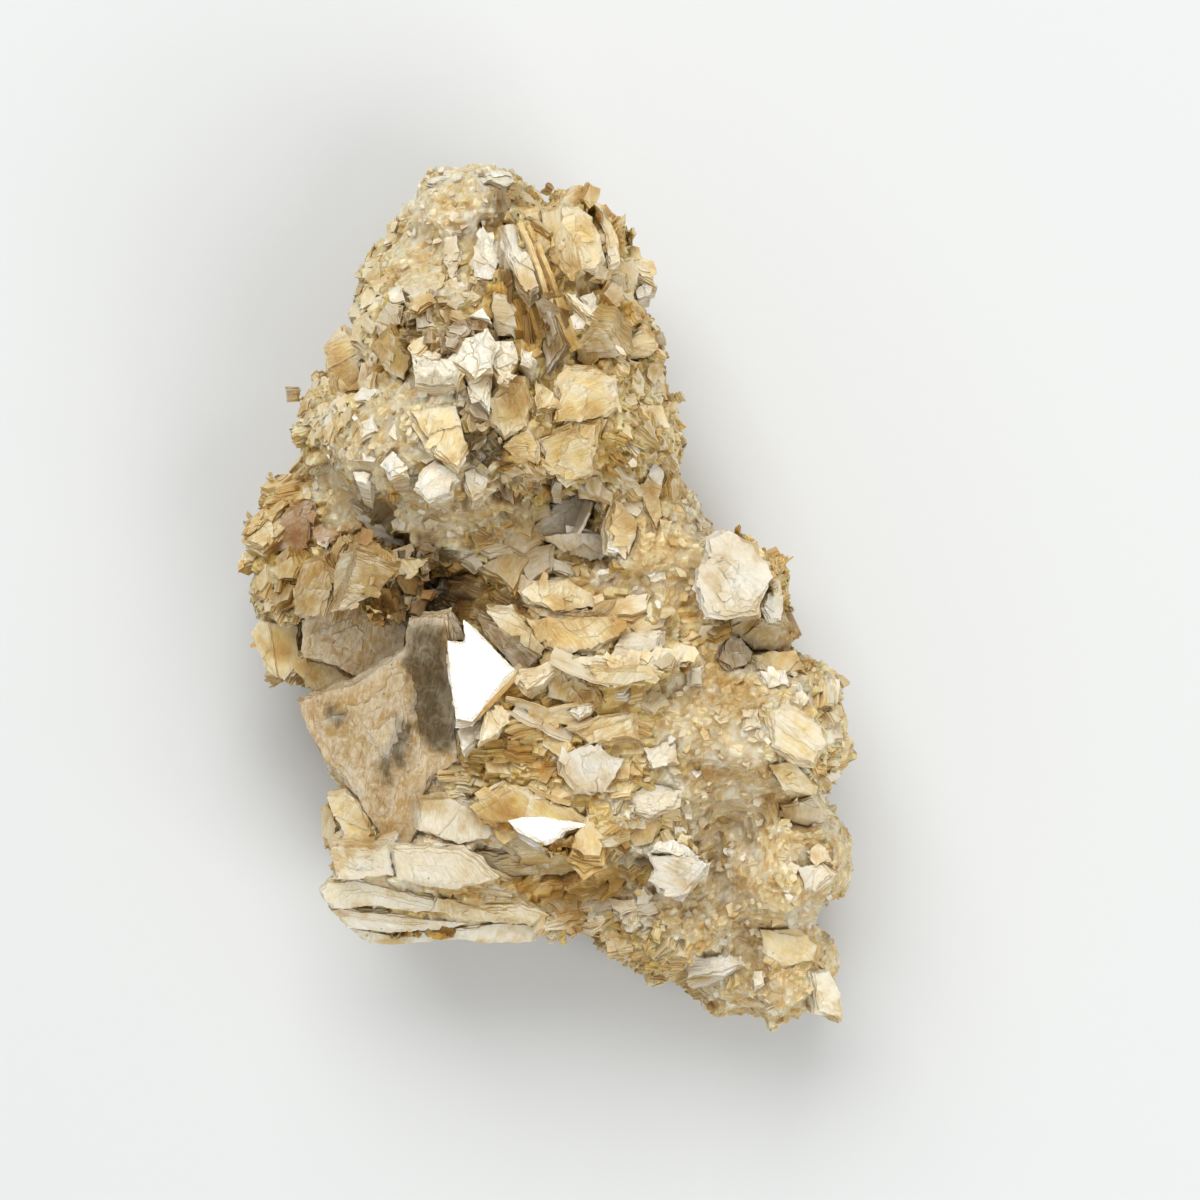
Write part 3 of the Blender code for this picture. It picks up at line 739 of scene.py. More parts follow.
def tessellate(rim, step):
    """Points and triangles that fill a 2-D outline, the outline's own points first."""
    corners = np.array(rim)
    low, high = corners.min(0), corners.max(0)
    inner = []
    rows = int((high[1] - low[1]) / step) + 1
    columns = int((high[0] - low[0]) / step) + 1
    for row in range(rows):
        for column in range(columns):
            spot = low + np.array((column + 0.5 * (row % 2), row)) * step
            inner.append(spot + np.array((rng.uniform(-0.2, 0.2), rng.uniform(-0.2, 0.2))) * step)
    if inner:
        gaps = distance_to_outline(np.array(inner), corners)
        inner = [Vector(spot) for spot, gap in zip(inner, gaps) if gap < -0.45 * step]
    spots = list(rim) + inner
    ring = list(range(len(rim)))
    edges = [(index, (index + 1) % len(rim)) for index in ring]
    found = delaunay_2d_cdt(spots, edges, [ring], 1, 1e-5)
    return [Vector(spot) for spot in found[0]], [list(face) for face in found[2]]


def drawn_in(rim, width):
    """The rim moved in towards its middle by width."""
    middle = sum(rim, Vector((0, 0))) / len(rim)
    return [middle + (spot - middle) * max(0.3, 1 - width / (spot - middle).length) for spot in rim]


def plain(spot):
    return 0.0


def flat_leaf(rim, place, depth, fray_width=0.0, height_at=plain):
    """A leaf with one face and straight sides. Heights are along its c axis."""
    count = len(rim)
    rings = [drawn_in(rim, fray_width)] if fray_width else []
    points = [place(spot, height_at(spot)) for ring in rings for spot in ring]
    points += [place(spot, height_at(spot)) for spot in rim]
    points += [place(spot, height_at(spot) - depth) for spot in rim]
    levels = len(points) // count
    faces = [list(range(count))]
    for level in range(levels - 1):
        low, high = level * count, (level + 1) * count
        faces += [[low + k, high + k, high + (k + 1) % count, low + (k + 1) % count] for k in range(count)]
    faces.append([(levels - 1) * count + k for k in reversed(range(count))])
    fray = [0.0] * count * len(rings) + [1.0 if rings else 0.5] * count + [1.0] * count
    return points, fray, faces


def curled_leaf(rim, place, depth, step, height_at, taper=1.0):
    """A leaf whose face follows height_at, filled with triangles of about one step."""
    spots, triangles = tessellate(rim, step)
    count = len(rim)
    gaps = distance_to_outline(np.array([tuple(spot) for spot in spots]), [tuple(spot) for spot in rim])
    fray = [float(max(0.0, 1.0 + gap / FRAY_WIDTH)) for gap in gaps]
    points = [place(spot, height_at(spot)) for spot in spots]
    base = len(points)
    points += [place(spot * taper, height_at(spot) - depth) for spot in spots[:count]]
    faces = triangles + [[k, base + k, base + (k + 1) % count, (k + 1) % count] for k in range(count)]
    faces.append([base + k for k in reversed(range(count))])
    return points, fray + [1.0] * count, faces


def wave_height(size, lift, crinkled=False):
    """A smooth height over a sheet: long low waves, and crinkles where it is crumpled like foil."""
    waves = [(rng.uniform(0, math.tau), rng.uniform(0.25, 0.6) * 12 / (size + 6), rng.uniform(0.4, 1.0) * lift)
             for _ in range(3)]
    if crinkled:
        waves += [(rng.uniform(0, math.tau), rng.uniform(0.9, 2.2), rng.uniform(0.06, 0.13)) for _ in range(4)]
    phases = [rng.uniform(0, math.tau) for _ in waves]

    def height(spot):
        total = 0.0
        for (way, pace, rise), phase in zip(waves, phases):
            total += rise * math.sin((spot.x * math.cos(way) + spot.y * math.sin(way)) * pace + phase)
        return total
    return height


def drooping(height_at, outline):
    """The same height, but bent down near the rim, unevenly."""
    def height(spot):
        gap = -float(distance_to_outline(np.array([tuple(spot)]), [tuple(corner) for corner in outline])[0])
        wobble = 0.5 * mathutils.noise.noise(Vector((spot.x, spot.y, 3.0)) * 0.8)
        return height_at(spot) - DROOP * max(0.0, 1 - gap / (DROOP_WIDTH + wobble)) ** 2
    return height


# ================================================================ the traced sheets
def window_share(pixel):
    """How far a point of the great sheet is in one of its dark clear windows: 0 to 1."""
    wobble = 9.0 * mathutils.noise.noise(Vector((pixel[0], pixel[1], 0)) * 0.09)
    gap = min(float(distance_to_outline(np.array([pixel]), window)[0]) for window in WINDOWS)
    return min(1.0, max(0.0, 0.5 - (gap - 3.0 + wobble) / 9.0))


def add_sheet(plates, sheet):
    """A traced sheet as a book: thin leaves that cover part of its face, the face, and leaves below."""
    normal = sheet.normal
    u, v = basis(normal, rng.uniform(0, math.tau))
    if sheet.kind == "frost":
        u = (FROST_GRAIN - normal * FROST_GRAIN.dot(normal)).normalized()
        v = normal.cross(u)
    middle = sheet.middle
    outline = [sheet.on_plane(corner) - middle for corner in sheet.corners]
    outline = anticlockwise([Vector((point.dot(u), point.dot(v))) for point in outline])
    size = max(spot.length for spot in outline) * 2
    _, silver, frost = KINDS[sheet.kind]
    is_mirror = sheet.kind == "mirror"
    height_at = wave_height(size, 0.03 if is_mirror else 0.32, sheet.kind in ("silver", "white", "foil"))

    if is_mirror:
        height_at = drooping(height_at, outline)

    def leaf_at(shape, drop, depth, chip, is_top, taper=1.0):
        def place(spot, height):
            return middle + u * spot.x + v * spot.y + normal * (height - drop)
        rim = ragged(shape, EDGE_STEP if is_top else 1.6 * EDGE_STEP, chip, 0.0 if is_mirror else 0.09)
        fine = 0.6 if is_mirror else 0.9 if sheet.kind in CRUMPLED_KINDS else 1.3
        return curled_leaf(rim, place, depth, fine if is_top else 40.0, height_at, taper)

    partial = 0 if is_mirror or size < 3.5 else rng.choice((2, 2, 3, 4))
    shape = outline
    for number in range(partial):
        shape = smaller(shape, outline, size)
        if len(shape) < 3 or max((spot - shape[0]).length for spot in shape) < 1.6:
            break
        leaf = leaf_at(shape, -THIN_LEAF * (number + 1), THIN_LEAF * 1.2, 0.35, True)
        plates.add(leaf, normal, u, v, *dyed(sheet, leaf, (silver, frost, 0.0)))

    leaves = max(3, round(sheet.thickness / LEAF))
    reach = [0.0] * len(outline)
    for number in range(leaves):
        is_top = number == 0
        if not is_top:
            reach = [min(2.0, 0.22 * spot.length, far + rng.uniform(-0.15, 0.45))
                     for far, spot in zip(reach, outline)]
        shape = [spot + spot.normalized() * far for spot, far in zip(outline, reach)]
        is_root = number == leaves - 1
        depth = max(1.4, sheet.root - LEAF * number) if is_root else LEAF * 0.85
        chip = 0.04 if is_mirror and is_top else min(0.22 + 0.04 * number, 0.035 * size)
        leaf = leaf_at(shape, LEAF * number, depth, chip, is_top, ROOT_TAPER if is_root else 1.0)
        plates.add(leaf, normal, u, v, *dyed(sheet, leaf, (silver if is_top else min(silver, 0.12), frost, 0.0)))


def add_scales(plates, sheet):
    """Small thin leaves that lie on a traced sheet, left from the layer above it."""
    corners = [sheet.on_plane(corner) for corner in sheet.corners]
    span = max((corner - sheet.middle).length for corner in corners)
    for _ in range(round(span * span * SCALES_PER_AREA)):
        index = rng.randrange(len(corners))
        edge = corners[index].lerp(corners[(index + 1) % len(corners)], rng.random())
        place = edge.lerp(sheet.middle, rng.random() ** 1.3)
        c_axis = (sheet.normal + random_unit() * 0.16).normalized()
        add_scale(plates, place, c_axis, rng.uniform(*SCALE_SIZE), sheet.kind)


def add_scale(plates, place, c_axis, size, kind):
    """A thin scrap of a leaf."""
    u, v = basis(c_axis, rng.uniform(0, math.tau))
    outline = anticlockwise(book_outline(size, size * rng.uniform(0.4, 0.9), rng.choice((4, 5, 6))))
    rim = ragged(outline, max(0.6, size * 0.3), 0.12)

    def put(spot, height):
        return place + u * spot.x + v * spot.y + c_axis * (height + 0.12)

    plates.add(flat_leaf(rim, put, 0.2), c_axis, u, v, shaded(kind, 0.08), (*KINDS[kind][1:], 0.0))


def is_convex(outline):
    """Whether a 2-D outline that runs anticlockwise has no hollow side."""
    ahead = outline[1:] + outline[:1]
    after = outline[2:] + outline[:2]
    return all((b - a).x * (c - b).y - (b - a).y * (c - b).x > -0.05 for a, b, c in zip(outline, ahead, after))


def smaller(shape, outline, size):
    """The part of a sheet that a leaf on top of it still covers."""
    if is_convex(outline):
        way = rng.uniform(0, math.tau)
        toward = Vector((math.cos(way), math.sin(way)))
        return cut_off(shape, toward * size * rng.uniform(-0.05, 0.3), toward)
    share, corner = rng.uniform(0.5, 0.8), rng.choice(shape)
    return [spot * share + corner * (1 - share) * 0.8 for spot in shape]


def dyed(sheet, leaf, look):
    """A leaf of a traced sheet with its colours and looks: point by point on the great sheet."""
    tint = shaded(sheet.kind, 0.06)
    if not sheet.name.startswith("great"):
        return tint, look
    shares = [window_share(pixel) for pixel in pixels_of(np.array([tuple(point) for point in leaf[0]]))]
    # In the windows the leaf takes the dark tint and painted shade, less frost, and more painted shade through the
    # third look value.
    dark_through_window = WINDOW_TINT_AND_SHADE
    tints = [tuple(a * (1 - share) + b * share for a, b in zip(tint, dark_through_window)) for share in shares]
    return tints, [(look[0], look[1] * (1 - 0.6 * share), 0.35 * share) for share in shares]


def add_blade(plates, tree, name, kind, first, last, thickness, depth, lean, azimuth):
    """A sheet that stands on edge: what shows is its long thin edge, and a little of one face."""
    centre = ((first[0] + last[0]) / 2, (first[1] + last[1]) / 2)
    height = float(np.median([height_under(tree, pixel) for pixel in (first, centre, last)])) + 1.4
    ends = [EYE + pixel_ray(pixel) * (EYE.z - height) for pixel in (first, last)]
    along = (ends[1] - ends[0]).normalized()
    length = (ends[1] - ends[0]).length
    down = -leaning(lean, azimuth)
    down = (down - along * down.dot(along)).normalized()
    across = along.cross(down).normalized()
    corners = [Vector((0, -0.2)), Vector((length * 0.3, 0.5)), Vector((length * 0.7, 0.4)), Vector((length, -0.3)),
               Vector((length, -depth)), Vector((0, -depth))]
    rim = ragged(anticlockwise(corners), 0.6, 0.10)

    def place(spot, height):
        return ends[0] + along * spot.x - down * spot.y + across * (height + thickness / 2)

    plates.add(flat_leaf(rim, place, thickness), across, along, down, shaded(kind, 0.04), (*KINDS[kind][1:], 0.0))


# ================================================================ the books between them
def book_outline(length, width, corners):
    """An uneven, roughly six-sided outline."""
    offset = rng.uniform(0, math.tau)
    spots = []
    for index in range(corners):
        angle = offset + (index + rng.uniform(-0.25, 0.25)) / corners * math.tau
        reach = rng.uniform(0.8, 1.1)
        spots.append(Vector((math.cos(angle) * length / 2 * reach, math.sin(angle) * width / 2 * reach)))
    return spots


def sticks_out(tree, spot):
    """How far a place is outside the CAD shape; negative inside."""
    nearest, normal, _, _ = tree.find_nearest(spot)
    return math.copysign((spot - nearest).length, (spot - nearest).dot(normal))


def add_book(plates, tree, place, normal, c_axis, size, kind, shade_and_dirt):
    """A book set in the surface: a deck of ragged leaves, which fan out and bend a little together."""
    u, v = basis(c_axis, rng.uniform(0, math.tau))
    leaves = max(2, min(MOST_LEAVES, round(math.sqrt(size) * rng.uniform(1.6, 3.2))))
    depths = [rng.choice((0.5, 0.8, 1.0, 1.6)) * rng.uniform(0.22, 0.34) * math.sqrt(size / 4) for _ in range(leaves)]
    thickness = sum(depths)
    length, width = size * rng.uniform(1.0, 1.25), size * rng.uniform(0.7, 0.95)
    lean = abs(normal.dot(c_axis))
    stand = DECK_STAND[0] + DECK_STAND[1] * min(size, 8.0) * rng.uniform(0.3, 1.3)
    stand *= 0.55 + 0.45 * min(1.0, max(0.0, normal.z * 2.5))
    most = OVERHANG if normal.z > 0.5 else SIDE_OVERHANG
    for _ in range(5):
        reach = math.hypot(normal.dot(u) * length / 2, normal.dot(v) * width / 2) + lean * thickness / 2
        middle = place + normal * (min(stand, 2 * reach - 0.25) - reach)
        tips = [middle + u * length / 2, middle - u * length / 2, middle + v * width / 2, middle - v * width / 2]
        if max(sticks_out(tree, tip) for tip in tips) < most:
            break
        length, width, stand = length * 0.8, width * 0.8, stand * 0.8
    outline = book_outline(length, width, rng.choice((4, 5, 5, 6)))
    colour = shaded(kind, 0.05)
    fan = Vector((rng.uniform(-1, 1), rng.uniform(-1, 1))) * math.tan(math.radians(rng.uniform(0, 2.2)))
    silver, frost = KINDS[kind][1:]
    silver += rng.random() ** 3 * 0.25
    drift = [0.0] * len(outline)
    height_at = wave_height(size, 0.03 * size)
    top = thickness / 2
    for number, depth in enumerate(depths):
        drift = [0.7 * old + rng.gauss(0, 0.10) for old in drift]
        taper = 1 - 0.25 * lean * (1 - number / leaves)
        shape = anticlockwise([spot * (taper + push) for spot, push in zip(outline, drift)])

        def put(spot, height, top=top, tilt=fan * number):
            return middle + u * spot.x + v * spot.y + c_axis * (height + top + spot.dot(tilt))

        shade = rng.uniform(0.92, 1.05)
        tint = [channel * shade for channel in colour]
        solid = depth - min(rng.choice((0.02, 0.02, 0.03, 0.08)), depth / 2)
        if number == 0 and lean > 0.35:
            rim = ragged(shape, max(0.7, size * 0.13), 0.05 + 0.025 * size, 0.09)
            leaf = curled_leaf(rim, put, solid, max(0.9, size * 0.2), height_at)
        else:
            rim = ragged(shape, max(0.9, size * 0.2), 0.06 + 0.03 * size, 0.08)
            leaf = flat_leaf(rim, put, solid, 0.0, height_at)
        plates.add(leaf, c_axis, u, v, tint, (silver, frost, shade_and_dirt))
        top -= depth


def add_flake(plates, place, normal, c_axis, size, kind, shade_and_dirt):
    """A small flake set in the surface."""
    u, v = basis(c_axis, rng.uniform(0, math.tau))
    length, width = size, size * rng.uniform(0.6, 1.0)
    depth = size * rng.uniform(0.04, 0.10)
    reach = math.hypot(normal.dot(u) * length / 2, normal.dot(v) * width / 2) + depth * 0.3
    middle = place + normal * (0.15 - 0.2 * reach) + c_axis * depth / 2
    rim = anticlockwise(book_outline(length, width, rng.choice((4, 5, 5))))

    def put(spot, height):
        return middle + u * spot.x + v * spot.y + c_axis * height

    plates.add(flat_leaf(rim, put, depth), c_axis, u, v, shaded(kind, 0.05), (*KINDS[kind][1:], shade_and_dirt))


def zone_at(pixel):
    """The zone whose reach this pixel is deepest in, with a little chance at the borders."""
    best, score = None, 1.7
    for zone in ZONES:
        gap = math.hypot(pixel[0] - zone[0][0], pixel[1] - zone[0][1]) / zone[1] + rng.uniform(0, 0.2)
        if gap < score:
            best, score = zone, gap
    return best


def surface_samples(mesh, count):
    """Places spread evenly over the groundmass."""
    mesh.calc_loop_triangles()
    corners = np.empty(len(mesh.loop_triangles) * 3, np.int32)
    mesh.loop_triangles.foreach_get("vertices", corners)
    triangles = points_of(mesh)[corners.reshape(-1, 3)]
    crosses = np.cross(triangles[:, 1] - triangles[:, 0], triangles[:, 2] - triangles[:, 0])
    areas = np.linalg.norm(crosses, axis=1)
    picked = draw.choice(len(areas), count, p=areas / areas.sum())
    a, b = np.sqrt(draw.random(count))[:, None], draw.random(count)[:, None]
    chosen = triangles[picked]
    return (1 - a) * chosen[:, 0] + a * (1 - b) * chosen[:, 1] + a * b * chosen[:, 2]


def covered(places, sheets, sizes):
    """Which places lie under or too near a traced sheet."""
    pixels = pixels_of(places)
    hidden = np.zeros(len(places), bool)
    for sheet in sheets:
        gap = distance_to_outline(pixels, sheet.corners)
        above = places[:, 2] > sheet.heights_at(pixels) - HIDDEN_DEPTH
        hidden |= above & (gap < 0.10 * sizes / MM_PER_PIXEL)
    return hidden


def local_kind(kinds, place):
    """One of the zone's kinds, the same one over a few millimetres."""
    names = kinds.split()
    share = 0.5 + 0.9 * mathutils.noise.noise(place * 0.16) + rng.uniform(-0.15, 0.15)
    return names[min(len(names) - 1, max(0, int(share * len(names))))]


def axis_here(zone, place, normal):
    """The way the leaves face here: the zone's own, wandering slowly from place to place."""
    if zone is None:
        wander = mathutils.noise.noise_vector(place * 0.05)
        axis = (normal * 0.5 + wander * 2.2 + random_unit() * 0.35).normalized()
    else:
        wander = mathutils.noise.noise_vector(place * 0.09) * 0.5
        axis = (leaning(*zone[2]) + wander + random_unit() * zone[3] * rng.uniform(0.3, 1)).normalized()
    return axis if axis.dot(normal) > 0 else -axis


def shut_in(tree, places, normals, rays):
    """How much painted shade, with a little grime, each place gets: most in the recesses."""
    clear = openness(tree, places, normals, rays=rays)
    return np.clip(0.85 - clear, 0, 0.8) * 1.2


def add_books(cells, smooth_tree, tree, sheets, groups):
    """A deck on each book of the groundmass that no traced sheet hides."""
    places = np.array(cells.middles)
    sizes = np.array([size / CELL_SHARE[1] for size in cells.sizes])
    hidden = covered(places, sheets, sizes)
    # Painted shade with a little grime for each book, from how shut in it is.
    shade_and_dirt = shut_in(tree, places, cells.normals, 6)
    made = 0
    for index, place in enumerate(cells.middles):
        zone = cells.zones[index]
        is_sugar = zone is not None and zone[5] > SUGARY
        if hidden[index] or place.z < 1.2 or (is_sugar and rng.random() < 0.84):
            continue
        kind = "white" if rng.random() < 0.04 else cells.kinds[index]
        # Painted light: books on sideways or downward faces take a paler kind, against their shade.
        if smooth_tree.find_nearest(place)[1].z < 0.6:
            kind = PALER_IN_SHADE.get(kind, kind)
        size = sizes[index] * (0.55 if is_sugar else 0.85)
        made += 1
        normal, c_axis = cells.normals[index], cells.axes[index]
        add_book(groups[made % len(groups)], smooth_tree, place, normal, c_axis, size, kind, shade_and_dirt[index])
    print("BOOKS", made)


def add_flakes(mesh, smooth_tree, tree, sheets, groups):
    """Small loose flakes, most of them where the surface is sugary."""
    places = surface_samples(mesh, FLAKE_TRIES)
    sizes = FLAKE_SIZE[0] + draw.random(FLAKE_TRIES) ** 1.6 * (FLAKE_SIZE[1] - FLAKE_SIZE[0])
    hidden = covered(places, sheets, sizes)
    normals = [Vector(smooth_tree.find_nearest(Vector(place))[1]) for place in places]
    # Painted shade with a little grime for each flake, from how shut in it is.
    shade_and_dirt = shut_in(tree, places, normals, 4)
    pixels = pixels_of(places)
    made = 0
    for index, place in enumerate(places):
        zone = zone_at(pixels[index]) if normals[index].z > 0.05 else None
        wanted = (zone[5] if zone else 0.35) * 0.34
        if hidden[index] or place[2] < 1.2 or rng.random() > wanted:
            continue
        place, normal = Vector(place), normals[index]
        c_axis = (axis_here(zone, place, normal) + normal * 0.6 + random_unit() * 0.5).normalized()
        kind = "white" if rng.random() < 0.06 else local_kind(zone[6] if zone else HIDDEN_SIDES, place)
        made += 1
        if normal.z > 0.3 and rng.random() < GLINT_SHARE:
            kind, c_axis = "silver", (leaning(20, 98) + random_unit() * 0.12).normalized()
        add_flake(groups[made % len(groups)], place, normal, c_axis, sizes[index], kind, shade_and_dirt[index])
    print("FLAKES", made)


# ================================================================ materials
def node_maker(name):
    """A new material, its shader, and short ways to add a node and to link one to the shader."""
    material = bpy.data.materials.new(name)
    material.use_nodes = True
    tree = material.node_tree
    shader = tree.nodes["Principled BSDF"]

    def add(kind, inputs=None, **settings):
        made = tree.nodes.new(kind)
        for key, value in settings.items():
            setattr(made, key, value)
        for key, value in (inputs or {}).items():
            if isinstance(value, bpy.types.NodeSocket):
                tree.links.new(value, made.inputs[key])
            else:
                made.inputs[key].default_value = value
        return made

    def link(output, socket):
        tree.links.new(output, shader.inputs[socket])

    return material, shader, add, link


def mixer(add):
    """Short ways to mix two colours and to do one sum."""
    sockets = {"VALUE": (0, 2, 3), "RGBA": (0, 6, 7)}

    def mix(share, a, b, blend="MIX"):
        factor, first, second = sockets["RGBA"]
        return add("ShaderNodeMix", {factor: share, first: a, second: b}, data_type="RGBA",
                   blend_type=blend).outputs[2]

    def sums(operation, a, b):
        return add("ShaderNodeMath", {0: a, 1: b}, operation=operation).outputs[0]

    def ramp(value, low, high, start=0.0, end=1.0):
        return add("ShaderNodeMapRange", {0: value, 1: low, 2: high, 3: start, 4: end}).outputs[0]

    return mix, sums, ramp


def mica_material(name, glow, depth, clear, crumble):
    """Golden mica: pearly cleavage faces, striated golden edges, and painted shade with a little grime in the recesses.
    """
    material, shader, add, link = node_maker(name)
    mix, sums, ramp = mixer(add)
    tint = add("ShaderNodeAttribute", attribute_name="tint").outputs["Color"]
    axis = add("ShaderNodeAttribute", attribute_name="c_axis").outputs["Vector"]
    grain = add("ShaderNodeAttribute", attribute_name="grain").outputs["Vector"]
    fray = add("ShaderNodeAttribute", attribute_name="fray").outputs["Fac"]
    look = add("ShaderNodeSeparateXYZ", {0: add("ShaderNodeAttribute", attribute_name="look").outputs["Vector"]})
    silver, frost, shade_and_dirt = look.outputs[0], look.outputs[1], look.outputs[2]
    normal = add("ShaderNodeNewGeometry").outputs["True Normal"]
    facing = add("ShaderNodeVectorMath", {0: axis, 1: normal}, operation="DOT_PRODUCT").outputs["Value"]
    basal = ramp(sums("ABSOLUTE", facing, 0.0), 0.55, 0.9)
    edge = sums("SUBTRACT", 1.0, basal)

    stretch = add("ShaderNodeVectorMath", {0: grain, 1: (130, 130, 5200)}, operation="MULTIPLY").outputs[0]
    lines = add("ShaderNodeTexNoise", {"Vector": stretch, "Scale": 1.0, "Detail": 3.0, "Roughness": 0.65}).outputs[0]
    comb = add("ShaderNodeVectorMath", {0: grain, 1: (210, 900, 400)}, operation="MULTIPLY").outputs[0]
    feather = add("ShaderNodeTexNoise", {"Vector": comb, "Scale": 1.0, "Detail": 7.0, "Roughness": 0.68,
                                         "Distortion": 2.2}).outputs[0]
    clouds = add("ShaderNodeTexNoise", {"Vector": grain, "Scale": 240.0, "Detail": 6.0, "Roughness": 0.62}).outputs[0]
    specks = add("ShaderNodeTexVoronoi", {"Vector": grain, "Scale": 330.0}).outputs["Distance"]
    specks = ramp(specks, 0.03, 0.07, 1.0, 0.0)

    bent = add("ShaderNodeVectorMath", {0: add("ShaderNodeTexNoise", {"Vector": grain, "Scale": 300.0}).outputs["Color"],
                                        1: (0.0022, 0.0022, 0.0022)}, operation="MULTIPLY").outputs[0]
    bent = add("ShaderNodeVectorMath", {0: bent, 1: grain}, operation="ADD").outputs[0]
    creased = add("ShaderNodeTexVoronoi", {"Vector": bent, "Scale": 300.0}, feature="DISTANCE_TO_EDGE").outputs["Distance"]
    foiled = sums("MULTIPLY", ramp(silver, 0.44, 0.49), ramp(silver, 0.6, 0.9, 1.0, 0.0))
    crease = sums("MULTIPLY", ramp(creased, 0.0, 0.05, 1.0, 0.0), foiled)

    where = add("ShaderNodeTexCoord").outputs["Object"]
    drifts = add("ShaderNodeTexNoise", {"Vector": where, "Scale": 170.0, "Detail": 3.0, "Roughness": 0.5}).outputs[0]
    mottle = add("ShaderNodeTexNoise", {"Vector": where, "Scale": 520.0, "Detail": 6.0, "Roughness": 0.68,
                                        "Distortion": 0.8}).outputs[0]
    patches = sums("ADD", sums("MULTIPLY", drifts, 1.0 - 0.6 * crumble), sums("MULTIPLY", mottle, 0.6 * crumble))

    deep = mix(1.0, tint, (0.72, 0.52, 0.20, 1), "MULTIPLY")
    pale = add("ShaderNodeGamma", {"Color": tint, "Gamma": 0.8}).outputs[0]
    rime = mix(0.6, pale, (0.95, 0.89, 0.72, 1))
    edge_colour = mix(ramp(lines, 0.40, 0.62), deep, pale)
    face_colour = mix(ramp(clouds, 0.40, 0.68, 0.0, 0.7), mix(0.15, tint, pale), deep)
    streaks = add("ShaderNodeTexNoise", {"Vector": comb, "Scale": 1.0, "Detail": 7.0, "Roughness": 0.7,
                                         "Distortion": 0.5}).outputs[0]
    haze = add("ShaderNodeTexNoise", {"Vector": grain, "Scale": 520.0, "Detail": 8.0, "Roughness": 0.72,
                                      "Distortion": 1.4}).outputs[0]
    face_colour = mix(ramp(streaks, 0.50, 0.68, 0.0, 0.6), face_colour, pale)
    woven = sums("ADD", sums("MULTIPLY", feather, 0.35), sums("MULTIPLY", haze, 0.65))
    strands = sums("MULTIPLY", ramp(woven, 0.44, 0.62), sums("MULTIPLY", frost, 0.85))
    face_colour = mix(strands, face_colour, rime)
    across = add("ShaderNodeCombineXYZ", {0: sums("ADD", sums("MULTIPLY", fray, 9.0), sums("MULTIPLY", feather, 5.0))})
    rings = add("ShaderNodeTexNoise", {"Vector": across.outputs[0], "Scale": 1.6, "Detail": 2.0}).outputs[0]
    rim = ramp(fray, 0.45, 0.75)
    face_colour = mix(sums("MULTIPLY", rim, ramp(rings, 0.50, 0.42, 0.0, 0.45)), face_colour, deep)
    torn = sums("MULTIPLY", ramp(fray, 0.3, 1.0), ramp(feather, 0.35, 0.65, 0.1, 0.9))
    torn = sums("MAXIMUM", torn, sums("MULTIPLY", rim, ramp(rings, 0.52, 0.62, 0.0, 0.5)))
    face_colour = mix(torn, face_colour, rime)
    colour = mix(basal, edge_colour, face_colour)
    dull = sums("MULTIPLY", ramp(silver, 0.10, 0.6, 1.0, 0.0), ramp(frost, 0.5, 1.0, 1.0, 0.35))
    lit = add("ShaderNodeGamma", {"Color": colour, "Gamma": 0.55}).outputs[0]
    rich = mix(1.0, colour, (0.70, 0.53, 0.23, 1), "MULTIPLY")
    colour = mix(sums("MULTIPLY", ramp(patches, 0.50, 0.61, 0.0, 0.8), dull), colour, lit)
    colour = mix(sums("MULTIPLY", ramp(patches, 0.50, 0.38, 0.0, 0.9), dull), colour, rich)
    # Darker brown along the foil's crease lines: painted shade in the creases.
    colour = mix(sums("MULTIPLY", crease, 0.4), colour, (0.52, 0.40, 0.22, 1))
    colour = mix(sums("MULTIPLY", specks, 0.7), colour, (0.10, 0.07, 0.04, 1))
    # Darkens the colour where the recesses are shut in: painted shade, with a little grime.
    darkened_in_recesses = mix(1.0, colour, (0.38, 0.25, 0.075, 1), "MULTIPLY")
    link(mix(shade_and_dirt, colour, darkened_in_recesses), "Base Color")

    shine = sums("MULTIPLY", sums("MULTIPLY", silver, basal), ramp(clouds, 0.32, 0.5, 0.35, 1.0))
    shine = sums("MULTIPLY", shine, ramp(torn, 0.05, 0.45, 1.0, 0.05))
    link(sums("MULTIPLY", shine, 0.9), "Metallic")
    rough = sums("ADD", ramp(silver, 0.0, 1.0, 0.34, 0.14), ramp(clouds, 0.3, 0.7, -0.06, 0.14))
    link(sums("ADD", rough, sums("MULTIPLY", edge, 0.18)), "Roughness")

    relief = sums("ADD", sums("MULTIPLY", lines, sums("MULTIPLY", edge, 0.5)), sums("MULTIPLY", feather, 0.6))
    rumpled = sums("ADD", sums("MULTIPLY", clouds, 0.7 * crumble), sums("MULTIPLY", mottle, crumble))
    relief = sums("ADD", relief, sums("ADD", rumpled, sums("MULTIPLY", streaks, 0.5)))
    relief = sums("ADD", relief, sums("MULTIPLY", crease, -0.3))
    relief = sums("ADD", relief, sums("MULTIPLY", sums("MULTIPLY", rings, rim), 0.3))
    relief = sums("MULTIPLY", relief, ramp(silver, 0.6, 1.0, 1.0, 0.3))
    bumped = add("ShaderNodeBump", {"Height": relief, "Strength": 0.7, "Distance": 0.0006}).outputs[0]
    link(bumped, "Normal")
    link(bumped, "Coat Normal")

